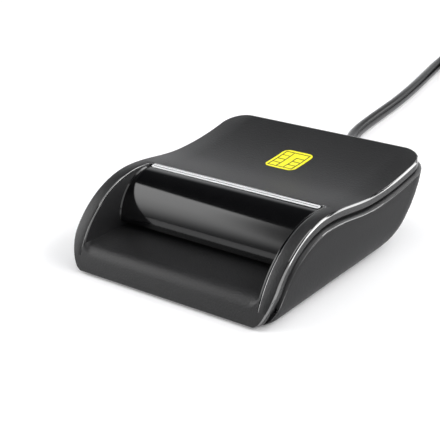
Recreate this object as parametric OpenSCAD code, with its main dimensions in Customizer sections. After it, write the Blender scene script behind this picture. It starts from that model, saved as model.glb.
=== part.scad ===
// Desktop smart card reader: two moulded shells round a board with a contact block,
// a glossy insert round the card mouth, and a captive cable that ends in a flat plug.
// Millimetres. Origin at the middle of the footprint, +Z up, the card goes in along +Y.

/* [Card] */
// Width of a full-size card
card_w = 53.98; // [53.9:0.01:54.1]
// Thickness of the card
card_t = 0.76; // [0.7:0.01:0.84]
// Clearance at each edge of the card
card_gap = 0.26; // [0.15:0.01:0.5]
// Height of the card's underside above the table
card_z = 7.6; // [7.4:0.1:8.4]
// Where the inserted card's leading edge stops, back from the middle of the body
card_stop = 24; // [22:0.1:24.5]
// Height of the slot
slot_h = 1.6; // [1.3:0.1:2.2]

/* [Body] */
// Width across the lower shell
body_w = 65; // [61:0.5:75]
// Length from the front lip to the rear edge
body_l = 72; // [70:0.5:84]
// Height of the hump over the card mouth
crest_h = 20.8; // [19:0.1:24]
// Height of the shallow dip in the top panel
dip_h = 19; // [17.5:0.1:22]
// Height of the rear edge
rear_h = 22.9; // [20:0.1:27]
// From the front lip back to the top of the hump
crest_run = 25.2; // [25:0.1:28]
// From the top of the hump back to the dip
dip_run = 20.3; // [15:0.1:26]
// Height of the rubber feet below the base
foot_h = 0.8; // [0.4:0.1:2]
// Wall of both shells
wall = 1.6; // [1.2:0.1:2]
// Thickness of the top panel and of the cheeks' band
top_t = 1.9; // [1.5:0.1:2.6]
// How far the lower shell stands out past the top shell
side_step = 0.8; // [0.4:0.1:1.2]
// Width of the dark groove between the shells
groove_h = 0.4; // [0.2:0.05:0.8]

/* [Card mouth] */
// Radius of the rounded brow over the slot
brow_r = 11.2; // [10:0.1:11.6]
// From the crest back to the edge of the top panel
bar_back = 4.5; // [3:0.1:7]
// Depth of the sloped bright rim, front to back
bar_w = 1.8; // [1:0.1:2.4]
// Width of the bright strip let into the rim
strip_w = 1.3; // [0.6:0.05:1.6]
// Thickness of the strip
strip_t = 0.4; // [0.2:0.05:0.6]
// Wall of the glossy insert at the cheeks
liner_t = 0.5; // [0.4:0.05:1]
// Wall of the brow
brow_t = 1.4; // [1:0.1:2]
// Height that the tray lies below the card
tray_drop = 0.3; // [0.1:0.05:0.6]
// Radius of the tray's front lip
lip_r = 4.5; // [3:0.1:5]

/* [Chip symbol] */
// Width of the symbol on the top panel
symbol_w = 9.5; // [7:0.1:12]
// Length of the symbol
symbol_l = 10.9; // [8:0.1:14]
// Depth of its layer
symbol_t = 0.35; // [0.2:0.05:0.6]
// From the crest back to the middle of the symbol
symbol_back = 28.2; // [20:0.2:36]

/* [Board] */
// Board width
board_w = 42; // [36:0.5:44]
// Board length
board_l = 35.6; // [33:0.2:37]
// Board thickness
board_t = 1.6; // [1:0.1:1.6]
// Height of the posts under the board
post_h = 1; // [0.6:0.1:1]

/* [Contacts] */
// Pitch of the contacts across the card
contact_pitch = 2.54; // [2.5:0.01:2.6]
// Distance between the two rows of contacts
row_gap = 7.62; // [7.5:0.01:7.8]
// From the card's leading edge to the first row
row_edge = 11.25; // [11:0.05:11.5]
// From the card's side edge to the first contact
contact_edge = 20.08; // [19.9:0.01:20.3]
// Width of a contact leaf
leaf_w = 1.3; // [1:0.05:1.5]
// Thickness of a contact leaf
leaf_t = 0.2; // [0.15:0.01:0.3]
// How far a free contact stands above the card's underside
leaf_lift = 0.6; // [0.4:0.05:0.7]
// Length from a contact's root to its crown
leaf_arm = 4.55; // [4.4:0.05:4.8]

/* [Cable] */
// Outer diameter of the cable
cable_d = 3.8; // [3.2:0.1:3.9]
// Height of the cable's axis where it leaves the body
exit_z = 6.5; // [6:0.1:7.5]
// Length of the tapered strain relief outside the body
relief_l = 12; // [10:0.5:13]
// Radius of the coil's outer turn
coil_r = 29; // [27:0.5:31]
// Step from one turn to the next
coil_pitch = 4.3; // [4.25:0.05:4.6]
// Turns wound inwards, and again outwards on top
coil_turns = 3.5; // [2.5:1:3.5]

/* [Plug] */
// Width of the plug's moulded grip
grip_w = 16; // [14:0.5:17]
// Thickness of the grip
grip_h = 8.4; // [7:0.1:9]
// Length of the grip
grip_l = 21; // [18:0.5:26]
// Width of the metal plug shell
plug_w = 12; // [11.9:0.05:12.1]
// Height of the metal plug shell
plug_h = 4.5; // [4.4:0.05:4.6]
// Length of the metal plug shell beyond the grip
plug_l = 18.8; // [18:0.1:19]
// Sheet thickness of the plug shell
plug_t = 0.3; // [0.25:0.01:0.4]

/* [Fasteners] */
// Radius of the case screws' shank
screw_r = 1; // [0.8:0.05:1.1]
// Radius of the case screws' head
head_r = 1.9; // [1.7:0.05:2.1]
// Height of a screw head
head_h = 1.1; // [0.8:0.1:1.2]
// Radius of a rubber foot
foot_r = 4; // [3:0.1:4.5]

/* [Hidden] */

$fn = 48;
over = 1;                      // overrun of a cut past the face it opens
hair = 0.05;                   // running gap between fixed pieces
seat = 0.1;                    // gap round a piece that drops into a pocket

// Body: main lines
card_half = card_w / 2 + card_gap;
mouth_half = card_half + liner_t;
half_w = body_w / 2;
front_y = -body_l / 2;
rear_y = body_l / 2;
crest_y = front_y + crest_run;
dip_y = crest_y + dip_run;
floor_z = foot_h + wall;
front_r = (crest_run * crest_run + pow(crest_h - foot_h, 2)) / 2 / (crest_h - foot_h);
front_cz = crest_h - front_r;
top_half = half_w - side_step;
top_rear = rear_y - side_step;
tray_z = card_z - tray_drop;
slot_top = tray_z + slot_h;
bar_y = crest_y + bar_back;
brow_y = bar_y - bar_w - brow_t / 2;
board_z = floor_z + post_h;
board_top = board_z + board_t;
board_back = 1.4;              // from the card's stop forward to the board's rear edge
board_rear = card_stop - board_back;
board_front = board_rear - board_l;

// Height of the top panel's surface at a distance y along the body
function top_z(y) =
    y < crest_y ? front_cz + sqrt(max(0, front_r * front_r - (crest_y - y) * (crest_y - y)))
    : y < dip_y ? (crest_h + dip_h) / 2 + (crest_h - dip_h) / 2 * cos(180 * (y - crest_y) / dip_run)
    : dip_h + (rear_h - dip_h) * pow((y - dip_y) / (rear_y - dip_y), 2);

// Side outline of the body, drawn inwards by d, from the height low at the front to the rear edge.
// The cheeks' front curve is the circle through the front lip that is level at the crest.
front_steps = 16;
rear_steps = 28;
function rim(d, low) =
    let (r = front_r - d, a0 = asin(min(1, max(0, low - front_cz) / r)))
    concat(
        [for (i = [0:front_steps])
            let (a = a0 + (90 - a0) * i / front_steps)
            [crest_y - r * cos(a), front_cz + r * sin(a)]],
        [for (i = [1:rear_steps])
            let (y = crest_y + (rear_y + over - crest_y) * i / rear_steps)
            [y, top_z(y) - d]]);

// Everything under the side outline
module under(d, low, w) {
    pts = rim(d, low);
    rotate([90, 0, 90])
        translate([0, 0, -w])
            linear_extrude(2 * w)
                polygon(concat(pts, [[rear_y + over, low], [pts[0][0], low]]));
}

// Everything over it, as far as the body reaches
module above(d) {
    difference() {
        translate([-body_w, front_y - body_l, 0])
            cube([2 * body_w, 2 * body_l, rear_h + crest_h]);
        under(d, -over, 2 * body_w);
    }
}

// A round-cornered plan, symmetric about X = 0
arc_steps = 12;
function arc(cx, cy, r, a, b) =
    [for (i = [0:arc_steps])
        let (t = a + (b - a) * i / arc_steps)
        [cx + r * cos(t), cy + r * sin(t)]];
function plan_pts(half, y0, y1, r_front, r_rear) = concat(
    arc(half - r_front, y0 + r_front, r_front, -90, 0),
    arc(half - r_rear, y1 - r_rear, r_rear, 0, 90),
    arc(r_rear - half, y1 - r_rear, r_rear, 90, 180),
    arc(r_front - half, y0 + r_front, r_front, 180, 270));
module plan(half, y0, y1, r_front, r_rear) {
    polygon(plan_pts(half, y0, y1, r_front, r_rear));
}
module plan_box(l, w, r) {
    translate([0, -w / 2])
        plan(l / 2, 0, w, r, r);
}

// A closed skin over rings of points; each ring turns left as seen along the stack
module skin(rings) {
    m = len(rings);
    n = len(rings[0]);
    sides = [for (i = [0:m - 2], k = [0:n - 1])
        let (a = i * n + k, b = i * n + (k + 1) % n)
        each [[a, b, b + n], [a, b + n, a + n]]];
    ends = [for (k = [1:n - 2])
        each [[0, k + 1, k], (m - 1) * n * [1, 1, 1] + [0, k, k + 1]]];
    polyhedron([for (ring = rings) each ring], concat(sides, ends));
}

// The lower shell's outer form: plan slices that grow rounder and narrower towards the base.
// The shares are of the tuck at the base, at shares of the height, and are eased in between.
side_tuck = 3;
stern_tuck = 7;
base_corner = 22;
rim_corner = 7;
nose_corner = 5.5;
rise_shares = [0, 0.055, 0.17, 0.35, 0.56, 0.79, 1.1];
side_shares = [1, 0.5, 0.17, 0.03, 0, 0, 0];
stern_shares = [1, 0.71, 0.46, 0.26, 0.11, 0.03, 0];
round_shares = [1, 0.87, 0.73, 0.53, 0.27, 0.07, 0];
slices = 15;
slice_ease = 1.7;
function slope(s, i) =
    let (a = max(i - 1, 0), b = min(i + 1, len(s) - 1))
    (s[b] - s[a]) / (rise_shares[b] - rise_shares[a]);
function eased(s, u, i = 0) =
    u > rise_shares[i + 1] && i < len(s) - 2 ? eased(s, u, i + 1)
    : let (span = rise_shares[i + 1] - rise_shares[i], t = (u - rise_shares[i]) / span,
           t2 = t * t, t3 = t2 * t)
      (2 * t3 - 3 * t2 + 1) * s[i] + (t3 - 2 * t2 + t) * span * slope(s, i)
      + (3 * t2 - 2 * t3) * s[i + 1] + (t3 - t2) * span * slope(s, i + 1);
module boat() {
    high = rise_shares[len(rise_shares) - 1];
    skin([for (i = [slices:-1:0])
        let (u = high * pow(i / slices, slice_ease))
        [for (p = plan_pts(half_w - side_tuck * eased(side_shares, u), front_y + side_step,
                rear_y - stern_tuck * eased(stern_shares, u), nose_corner,
                rim_corner + (base_corner - rim_corner) * eased(round_shares, u)))
            [p[0], p[1], foot_h + (rear_h - foot_h) * u]]]);
}

// Case screws: two under the tray, two behind the card stop
boss_r = 3;
boss_h = 0.9;
case_post_r = 2.3;
front_screw_x = mouth_half - 3.55;
front_screw_in = 9.4;          // back from the front lip
rear_screw_x = 10;
rear_screw_in = 8.3;           // forward from the rear edge
front_screw_y = front_y + front_screw_in;
rear_screw_y = rear_y - rear_screw_in;
SCREWS = [[front_screw_x, front_screw_y], [-front_screw_x, front_screw_y],
          [rear_screw_x, rear_screw_y], [-rear_screw_x, rear_screw_y]];
boss_top = floor_z + boss_h;
front_bite = 3.2;              // how far a front screw reaches into its post
rear_bite = 8;
head_gap = 0.15;

// Board screws and rests
board_screw_in = 3.5;          // in from the board's sides
board_screw_end = 5;           // back from the board's front edge
board_rest_end = 4;            // forward from its rear edge
board_screw_x = board_w / 2 - board_screw_in;
board_screw_y = board_front + board_screw_end;
board_screw_r = 0.85;
board_screw_gap = 0.15;
board_head_r = 1.6;
board_head_h = 0.9;
board_post_r = 2.6;
board_rest_r = 2;
base_skin = 0.6;               // plastic left below a board screw's hole
board_tip_gap = 0.2;

// Feet
foot_sink = 0.7;
foot_gap = 0.2;
foot_edge = 0.3;                // chamfer at the table
front_foot_in = 9;             // back from the front screws
rear_foot_in = 17;             // forward from the rear edge
foot_side = 1.2;               // front feet's middles in from the front screws'
rear_foot_x = half_w - 15.5;
FEET = [[front_screw_x - foot_side, front_screw_y + front_foot_in],
        [foot_side - front_screw_x, front_screw_y + front_foot_in],
        [rear_foot_x, rear_y - rear_foot_in], [-rear_foot_x, rear_y - rear_foot_in]];

// Hollow of the lower shell: narrow low down, wider above the guide's ledge
hollow_spread = 0.6;
hollow_low_wall = side_tuck + wall - hollow_spread;
hollow_low_stern = 6.6;
hollow_low_r = 18.5;
hollow_high_wall = 1.9;
hollow_high_stern = 3.4;
hollow_high_r = 14;
hollow_front = 4.4;
hollow_front_r = 2;
ledge_drop = 0.7;              // ledge below the card's underside
ledge_z = card_z - ledge_drop;
low_rear = rear_y - hollow_low_stern;
shadow_in = 0.3;               // shadow groove's depth behind the top shell's side

// Card guide: two grooved rails joined by the stop behind the card
guide_z = ledge_z + hair;
rail_out = 1;
rail_w = 2.8;
rail_top = 1;
rail_lead = 2.7;               // rails start this far before the crest
stop_t = 1.2;
groove_under = 0.1;
groove_over = 0.3;
guide_out = card_half + rail_out;
guide_top = slot_top + rail_top;
guide_front = crest_y - rail_lead;
guide_rear = card_stop + stop_t;
guide_corner = 3;
rib_t = 1.8;
rib_l = 1.4;
rib_in = 1.2;                  // ribs' middles in from the card's edge
rib_shares = [0.04, 0.45, 0.79];

// Cable exit, gland and strain relief
cable_r = cable_d / 2;
gland_in = 5.4;                // gland's inner face, forward from the rear edge
gland_in_y = rear_y - gland_in;
gland_neck_r = cable_r + 1;
gland_flange_r = gland_neck_r + 0.8;
gland_flange_t = 1.2;
gland_neck_l = 3.4;
flange_gap = 0.2;
relief_y = gland_in_y + gland_neck_l;
relief_end_y = relief_y + relief_l;
relief_end_r = cable_r + 0.35;
slit_t = 0.8;
slit_pitch = 2.2;
slit_depth = 0.9;
slit_start = 2.4;
bore_gap = 0.02;

// Cable inside the case
header_w = 9;
header_d = 2.6;
header_h = 2;
core_r = 0.42;
core_n = 4;
core_mid = (core_n - 1) / 2;
core_pitch = 2;
core_end_pitch = 0.95;
core_rise = 1.1;
core_lead = 0.4;
core_z = board_top + core_rise;
inner_in = 10.6;               // jacket's inner end, forward from the rear edge
inner_y = rear_y - inner_in;
clamp_t = 1.2;
clamp_side = 2.7;
clamp_l = 3;
clamp_in = 0.5;
saddle_l = 4;
clamp_half = cable_r + clamp_side;

// Tray
tray_over = 0.6;               // tray runs on under the linings
tray_t = 1.8;
tray_room = 1.2;
tray_cut = 6.5;                // room for the lip, back from the front
tray_half = mouth_half + tray_over;

module bottom_shell() {
    color([0.07, 0.07, 0.075])
    difference() {
        union() {
            difference() {
                boat();
                // Cut along the parting line, and lower down outside the dark groove
                above(top_t);
                difference() {
                    above(top_t + groove_h);
                    translate([0, 0, -over])
                        linear_extrude(2 * (rear_h + crest_h))
                            plan(top_half - shadow_in, front_y, top_rear - shadow_in,
                                nose_corner, rim_corner - side_step);
                }
                // Inside, low and high
                translate([0, 0, floor_z])
                    linear_extrude(rear_h + crest_h)
                        plan(half_w - hollow_low_wall, front_y + hollow_front, low_rear,
                            hollow_front_r, hollow_low_r);
                translate([0, 0, ledge_z])
                    linear_extrude(rear_h + crest_h)
                        plan(half_w - hollow_high_wall, front_y + hollow_front,
                            rear_y - hollow_high_stern, hollow_front_r, hollow_high_r);
            }
            // Screw bosses on the floor
            for (p = SCREWS)
                translate([p[0], p[1], floor_z - hair])
                    cylinder(r = boss_r, h = boss_h + hair);
            // Board posts and rests
            for (s = [-1, 1]) {
                translate([s * board_screw_x, board_screw_y, floor_z - hair])
                    cylinder(r = board_post_r, h = post_h + hair);
                translate([s * board_screw_x, board_rear - board_rest_end, floor_z - hair])
                    cylinder(r = board_rest_r, h = post_h + hair);
            }
            // Ribs that carry the card guide
            for (s = [-1, 1], share = rib_shares)
                translate([s * (card_half - rib_in) - rib_t / 2,
                           guide_front + share * (guide_rear - guide_front), floor_z - hair])
                    cube([rib_t, rib_l, guide_z - floor_z + hair]);
            // Saddle under the cable
            translate([-clamp_half, inner_y, floor_z - hair])
                cube([2 * clamp_half, saddle_l, exit_z - cable_r - floor_z + hair]);
        }
        for (p = SCREWS) {
            translate([p[0], p[1], -over])
                cylinder(r = head_r + head_gap, h = floor_z - wall + head_h + over);
            translate([p[0], p[1], -over])
                cylinder(r = screw_r + seat, h = boss_top + 2 * over);
        }
        for (s = [-1, 1])
            translate([s * board_screw_x, board_screw_y, foot_h + base_skin])
                cylinder(r = board_screw_r + hair, h = board_z);
        for (p = FEET)
            translate([p[0], p[1], -over])
                cylinder(r = foot_r, h = over + foot_h + foot_sink);
        // Room for the long posts and for the tray
        for (s = [-1, 1])
            translate([s * rear_screw_x, rear_screw_y, boss_top])
                cylinder(r = case_post_r + seat, h = rear_h);
        translate([-mouth_half - tray_room, front_y - over, tray_z - tray_t - seat])
            cube([2 * (mouth_half + tray_room), tray_cut + over, rear_h]);
        // Cable exit
        translate([0, gland_in_y, exit_z])
            rotate([-90, 0, 0])
                cylinder(r = gland_neck_r, h = body_l);
        translate([0, low_rear - over, exit_z])
            rotate([-90, 0, 0])
                cylinder(r = gland_flange_r + seat,
                    h = gland_in_y + gland_flange_t + flange_gap - low_rear + over);
    }
}

module card_guide() {
    color([0.12, 0.12, 0.13])
    difference() {
        translate([0, 0, guide_z])
            linear_extrude(guide_top - guide_z)
                plan(guide_out, guide_front, guide_rear, hair, guide_corner);
        // Open middle
        translate([rail_w - guide_out, guide_front - over, guide_z - over])
            cube([2 * (guide_out - rail_w), card_stop - guide_front + over, guide_top]);
        // Card groove
        translate([-card_half, guide_front - over, card_z - groove_under])
            cube([2 * card_half, card_stop - guide_front + over,
                  card_t + groove_under + groove_over]);
        // Room for the cable's header under the stop
        translate([-header_w, card_stop - over, guide_z - over])
            cube([2 * header_w, stop_t + 2 * over, card_z - guide_z + over - leaf_t]);
    }
}

// The symbol's outline on the top panel, as a tall block
symbol_r = 1.9;
symbol_x = 0.3;
symbol_proud = 0.05;
symbol_y = crest_y + symbol_back;
module symbol_block(gap) {
    translate([symbol_x, symbol_y - symbol_l / 2 - gap, 0])
        linear_extrude(rear_h + crest_h)
            plan(symbol_w / 2 + gap, 0, symbol_l + 2 * gap, symbol_r, symbol_r);
}
module chip_symbol() {
    color([0.95, 0.93, 0.1])
    intersection() {
        symbol_block(0);
        difference() {
            under(-symbol_proud, foot_h, body_w);
            under(symbol_t, -over, body_w + over);
        }
    }
}

module top_shell() {
    color([0.16, 0.16, 0.165]) {
        difference() {
            intersection() {
                difference() {
                    under(0, foot_h, body_w);
                    under(top_t, -over, body_w + over);
                }
                translate([0, 0, -over])
                    linear_extrude(rear_h + crest_h)
                        plan(top_half, front_y - hair, top_rear, nose_corner,
                            rim_corner - side_step);
            }
            // Card mouth
            translate([-mouth_half, front_y - over, -over])
                cube([2 * mouth_half, bar_y - front_y + over, rear_h + crest_h]);
            // Pocket of the symbol
            difference() {
                symbol_block(hair);
                under(symbol_t, -over, body_w);
            }
        }
        // Tray and front lip
        difference() {
            intersection() {
                tray_form();
                translate([0, 0, -over])
                    linear_extrude(rear_h)
                        plan(top_half, front_y - hair, top_rear, nose_corner,
                            rim_corner - side_step);
            }
            for (s = [-1, 1])
                translate([s * front_screw_x, front_screw_y, -over])
                    cylinder(r = screw_r + hair, h = boss_top + front_bite + over);
        }
        // Long posts over the rear screws
        for (s = [-1, 1])
            difference() {
                translate([s * rear_screw_x, rear_screw_y, boss_top])
                    cylinder(r = case_post_r, h = top_z(rear_screw_y) - top_t / 2 - boss_top);
                translate([s * rear_screw_x, rear_screw_y, boss_top - over])
                    cylinder(r = screw_r + hair, h = rear_bite + over);
            }
    }
}

// Tray outline, seen from the side: the cheeks' front curve carried across, rolled over into
// the flat that the card slides on
lip_cz = tray_z - lip_r;
lip_cy = crest_y - sqrt(pow(front_r - lip_r, 2) - pow(lip_cz - front_cz, 2));
lip_a = atan2(lip_cz - front_cz, lip_cy - crest_y);
lip_steps = 10;
function front_pt(d, z) =
    [crest_y - sqrt(pow(front_r - d, 2) - pow(z - front_cz, 2)), z];
function tray_pts() =
    let (low = foot_h, high = tray_z - tray_t)
    concat(
        [for (i = [0:lip_steps])
            front_pt(0, low + (lip_cz + lip_r * sin(lip_a) - low) * i / lip_steps)],
        [for (i = [1:lip_steps])
            let (a = lip_a + (90 - lip_a) * i / lip_steps)
            [lip_cy + lip_r * cos(a), lip_cz + lip_r * sin(a)]],
        [[guide_front - seat, tray_z], [guide_front - seat, high]],
        [for (i = [0:lip_steps]) front_pt(top_t, high + (low - high) * i / lip_steps)]);
module tray_form() {
    rotate([90, 0, 90])
        translate([0, 0, -tray_half])
            linear_extrude(2 * tray_half)
                polygon(tray_pts());
    for (s = [-1, 1])
        translate([s * front_screw_x, front_screw_y, boss_top])
            cylinder(r = case_post_r, h = tray_z - tray_t / 2 - boss_top);
}

// Glossy insert: the brow over the slot, its sloped rim and the linings of both cheeks
brow_steps = 20;
function brow_pts(r) =
    [for (i = [0:brow_steps])
        let (a = 180 - 90 * i / brow_steps)
        [brow_y + r * cos(a), slot_top + r * sin(a)]];
module slot_bezel() {
    inside = brow_pts(brow_r - brow_t);
    color([0.03, 0.03, 0.032]) {
        difference() {
            rotate([90, 0, 90])
                translate([0, 0, -card_half - hair])
                    linear_extrude(2 * card_half + 2 * hair)
                        polygon(concat(
                            brow_pts(brow_r),
                            [[bar_y - bar_w, slot_top + brow_r], [bar_y, top_z(bar_y)],
                             [bar_y, top_z(bar_y) - top_t]],
                            [for (i = [brow_steps:-1:0]) inside[i]]));
            strip_block(hair, over);
        }
        for (s = [-1, 1])
            translate([s * (card_half + liner_t / 2), 0, 0])
                liner();
    }
}
// Bright strip in the rim: its pocket and itself, on the slope
strip_end = 0.6;               // short of the card's edge at each end
strip_proud = 0.05;
rim_rise = top_z(bar_y) - slot_top - brow_r;
rim_angle = atan2(rim_rise, bar_w);
module strip_block(gap, high) {
    translate([0, bar_y - bar_w / 2, slot_top + brow_r + rim_rise / 2])
        rotate([rim_angle, 0, 0])
            translate([0, 0, -strip_t])
                linear_extrude(strip_t + high)
                    plan_box(2 * (card_half - strip_end + gap), strip_w + 2 * gap,
                        (strip_w - hair) / 2 + gap);
}
module rim_strip() {
    color([0.75, 0.75, 0.77])
        strip_block(0, strip_proud);
}
liner_sink = 0.1;              // lining's edge below the cheek's band
module liner() {
    intersection() {
        under(liner_sink, tray_z, liner_t / 2 - hair / 2);
        difference() {
            translate([-liner_t, front_y, tray_z])
                cube([2 * liner_t, bar_y - front_y, rear_h]);
            translate([-body_w, guide_front - seat, 0])
                cube([2 * body_w, body_l, guide_top + seat]);
        }
    }
}

module rubber_feet() {
    r = foot_r - foot_gap;
    color([0.1, 0.1, 0.1])
    for (p = FEET)
        translate([p[0], p[1], 0])
            rotate_extrude()
                polygon([[0, 0], [r - foot_edge, 0], [r, foot_edge],
                         [r, foot_h + foot_sink], [0, foot_h + foot_sink]]);
}

// A cross-head screw, head down
cross_w_share = 0.4;
cross_l_share = 1.2;
cross_depth_share = 0.5;
module screw(r, l, hr, hh) {
    difference() {
        union() {
            cylinder(r = hr, h = hh);
            translate([0, 0, hh])
                cylinder(r = r, h = l);
        }
        for (a = [0, 90])
            rotate([0, 0, a])
                translate([-hr * cross_w_share / 2, -hr * cross_l_share / 2, -over])
                    cube([hr * cross_w_share, hr * cross_l_share, over + hh * cross_depth_share]);
    }
}
module case_screws() {
    color("silver")
    for (i = [0:3])
        translate([SCREWS[i][0], SCREWS[i][1], floor_z - wall])
            screw(screw_r, boss_h + wall - head_h + (i < 2 ? front_bite : rear_bite) - seat,
                head_r, head_h);
}

module circuit_board() {
    color([0.05, 0.3, 0.16])
    difference() {
        translate([-board_w / 2, board_front, board_z])
            cube([board_w, board_l, board_t]);
        for (s = [-1, 1])
            translate([s * board_screw_x, board_screw_y, board_z - over])
                cylinder(r = board_screw_r + board_screw_gap, h = board_t + 2 * over);
    }
}
module board_screws() {
    color("silver")
    for (s = [-1, 1])
        translate([s * board_screw_x, board_screw_y, board_top + board_head_h])
            mirror([0, 0, 1])
                screw(board_screw_r, board_t + post_h + wall - base_skin - board_tip_gap,
                    board_head_r, board_head_h);
}

// A place on the board, as shares of half its width and of its length
function on_board(x_share, y_share) =
    [board_w / 2 * x_share, board_front + board_l * y_share, board_top];

// A square package with rows of leads on all four sides
chip_share = [0.53, 0.466];
chip_w = 7;
chip_h = 1.4;
chip_lift = 0.1;
lead_n = 8;
lead_pitch = 0.8;
lead_w = 0.35;
lead_t = 0.2;
lead_top = 0.9;
lead_in = 0.25;
lead_out = 0.45;
lead_l = 1;
module controller_chip() {
    color([0.08, 0.08, 0.08])
    translate(on_board(chip_share[0], chip_share[1])) {
        translate([-chip_w / 2, -chip_w / 2, chip_lift])
            cube([chip_w, chip_w, chip_h]);
        for (a = [0:90:270], i = [0:lead_n - 1])
            rotate([0, 0, a])
                translate([(i - (lead_n - 1) / 2) * lead_pitch - lead_w / 2, chip_w / 2, 0])
                    rotate([90, 0, 90])
                        linear_extrude(lead_w)
                            polygon([[0, lead_top - lead_t], [0, lead_top], [lead_out, lead_top],
                                     [lead_out, lead_t], [lead_l, lead_t], [lead_l, 0],
                                     [lead_in, 0], [lead_in, lead_top - lead_t]]);
    }
}

crystal_share = [0.571, 0.225];
crystal_l = 5;
crystal_w = 3.2;
crystal_h = 1.1;
crystal_base = 0.3;
crystal_in = 0.2;
crystal_r = 0.5;
module clock_crystal() {
    color("silver")
    translate(on_board(crystal_share[0], crystal_share[1])) {
        translate([0, 0, crystal_base])
            linear_extrude(crystal_h - crystal_base)
                plan_box(crystal_l - 2 * crystal_in, crystal_w - 2 * crystal_in, crystal_r);
        linear_extrude(crystal_base)
            plan_box(crystal_l, crystal_w, crystal_in);
    }
}

// Chip capacitors and resistors: shares of the place, angle, share of the common size
part_shares = [[0.82, 0.59, 0, 1], [0.82, 0.646, 0, 1], [0.81, 0.323, 90, 1],
               [0.362, 0.225, 90, 1], [0.286, 0.298, 0, 1], [-0.667, 0.197, 0, 1.6],
               [-0.667, 0.309, 90, 1], [-0.786, 0.309, 90, 1], [-0.68, 0.787, 0, 1],
               [-0.8, 0.73, 90, 1]];
part_l = 1.6;
part_w = 0.8;
cap_share = 0.22;
body_share = 0.8;
end_share = 0.85;
module board_parts() {
    color([0.6, 0.5, 0.36])
    for (p = part_shares)
        translate(on_board(p[0], p[1]))
            rotate([0, 0, p[2]]) {
                l = part_l * p[3];
                w = part_w * p[3];
                translate([-l / 2 + l * cap_share, -w / 2, 0])
                    cube([l - 2 * l * cap_share, w, w * body_share]);
                for (s = [0, 1])
                    translate([-l / 2 + s * (l - l * cap_share), -w / 2, 0])
                        cube([l * cap_share, w, w * end_share]);
            }
}

// Contacts: the front row is rooted at the front, the rear row at the rear
contacts_in_row = 4;
row_rear_y = card_stop - row_edge;
row_front_y = row_rear_y - row_gap;
crown_z = card_z + leaf_lift;
root_drop = 2.2;
root_z = crown_z - root_drop;
tip_run = 1.5;
tip_drop = 0.9;
block_side = 4;
root_back = 1.4;
pocket_gap = 0.3;
pocket_end = 0.6;
pocket_floor = 0.5;
card_over_block = 0.2;
ramp_drop = 0.6;
ramp_angle = 35;
ramp_l = 2;
tail_foot = 0.9;
front_root = row_front_y - leaf_arm;
rear_root = row_rear_y + leaf_arm;
block_top = card_z - card_over_block;
function contact_x(i) =
    -card_w / 2 + contact_edge + (i % contacts_in_row) * contact_pitch;
function is_rear(i) = i < contacts_in_row;
block_x0 = contact_x(0) - block_side;
block_x1 = contact_x(contacts_in_row - 1) + block_side;
block_y0 = front_root - root_back;
block_y1 = rear_root + root_back;

// Drawn for the front row, and mirrored for the rear row
module at_contact(i) {
    translate([contact_x(i), is_rear(i) ? rear_root : front_root, 0])
        mirror([0, is_rear(i) ? 1 : 0, 0])
            children();
}

// A sprung leaf, as shares of its arm and of its thickness, from the root to the drooping tip
leaf_run_shares = [0.25, 0.88, 1, 1.1, 1.14, 1, 0.84, 0.22];
leaf_thick_shares = [0.5, 1.6, 1, 1.5, 0.4, 0, 0.6, 0.5];
module leaf(w, t, arm, rise, run, drop, z0) {
    x = [for (s = leaf_run_shares) arm * s];
    d = [for (s = leaf_thick_shares) t * s];
    translate([-w / 2, 0, z0])
        rotate([90, 0, 90])
            linear_extrude(w)
                polygon([[seat, -d[0]], [x[0], -d[0]], [x[1], rise - d[1]], [x[2], rise - d[2]],
                         [x[3], rise - d[3]], [arm + run, rise - drop - t],
                         [arm + run, rise - drop + t / 2], [x[4], rise - d[4]],
                         [x[5], rise - d[5]], [x[6], rise - d[6]], [x[7], d[7]], [seat, d[7]]]);
}
module contact(i) {
    color([0.85, 0.7, 0.35])
    at_contact(i)
        leaf(leaf_w, leaf_t, leaf_arm, root_drop, tip_run, tip_drop, root_z);
}
module contact_c1() contact(0);
module contact_c2() contact(1);
module contact_c3() contact(2);
module contact_c4() contact(3);
module contact_c5() contact(4);
module contact_c6() contact(5);
module contact_c7() contact(6);
module contact_c8() contact(7);

module contact_block() {
    pocket_w = leaf_w + 2 * pocket_gap;
    color([0.1, 0.1, 0.11])
    difference() {
        translate([block_x0, block_y0, board_top])
            cube([block_x1 - block_x0, block_y1 - block_y0, block_top - board_top]);
        for (i = [0:2 * contacts_in_row - 1])
            at_contact(i) {
                translate([-pocket_w / 2, 0, board_top + pocket_floor])
                    cube([pocket_w, leaf_arm + tip_run + pocket_end, block_top]);
                translate([-leaf_w / 2, -root_back - over, root_z - leaf_t / 2])
                    cube([leaf_w, root_back + 2 * over, leaf_t]);
            }
        // Lead-in slope under the card
        translate([block_x0 - over, block_y0, block_top - ramp_drop])
            rotate([ramp_angle, 0, 0])
                translate([0, -ramp_l, 0])
                    cube([block_x1 - block_x0 + 2 * over, ramp_l, ramp_l]);
    }
}
module contact_tails() {
    color([0.85, 0.7, 0.35])
    for (i = [0:2 * contacts_in_row - 1])
        at_contact(i) {
            translate([-leaf_w / 2, -root_back - leaf_t, root_z - leaf_t / 2])
                cube([leaf_w, root_back + leaf_t, leaf_t]);
            translate([-leaf_w / 2, -root_back - leaf_t, board_top])
                cube([leaf_w, leaf_t, root_z - leaf_t / 2 - board_top]);
            translate([-leaf_w / 2, -root_back - leaf_t - tail_foot, board_top])
                cube([leaf_w, tail_foot, leaf_t]);
        }
}

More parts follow.
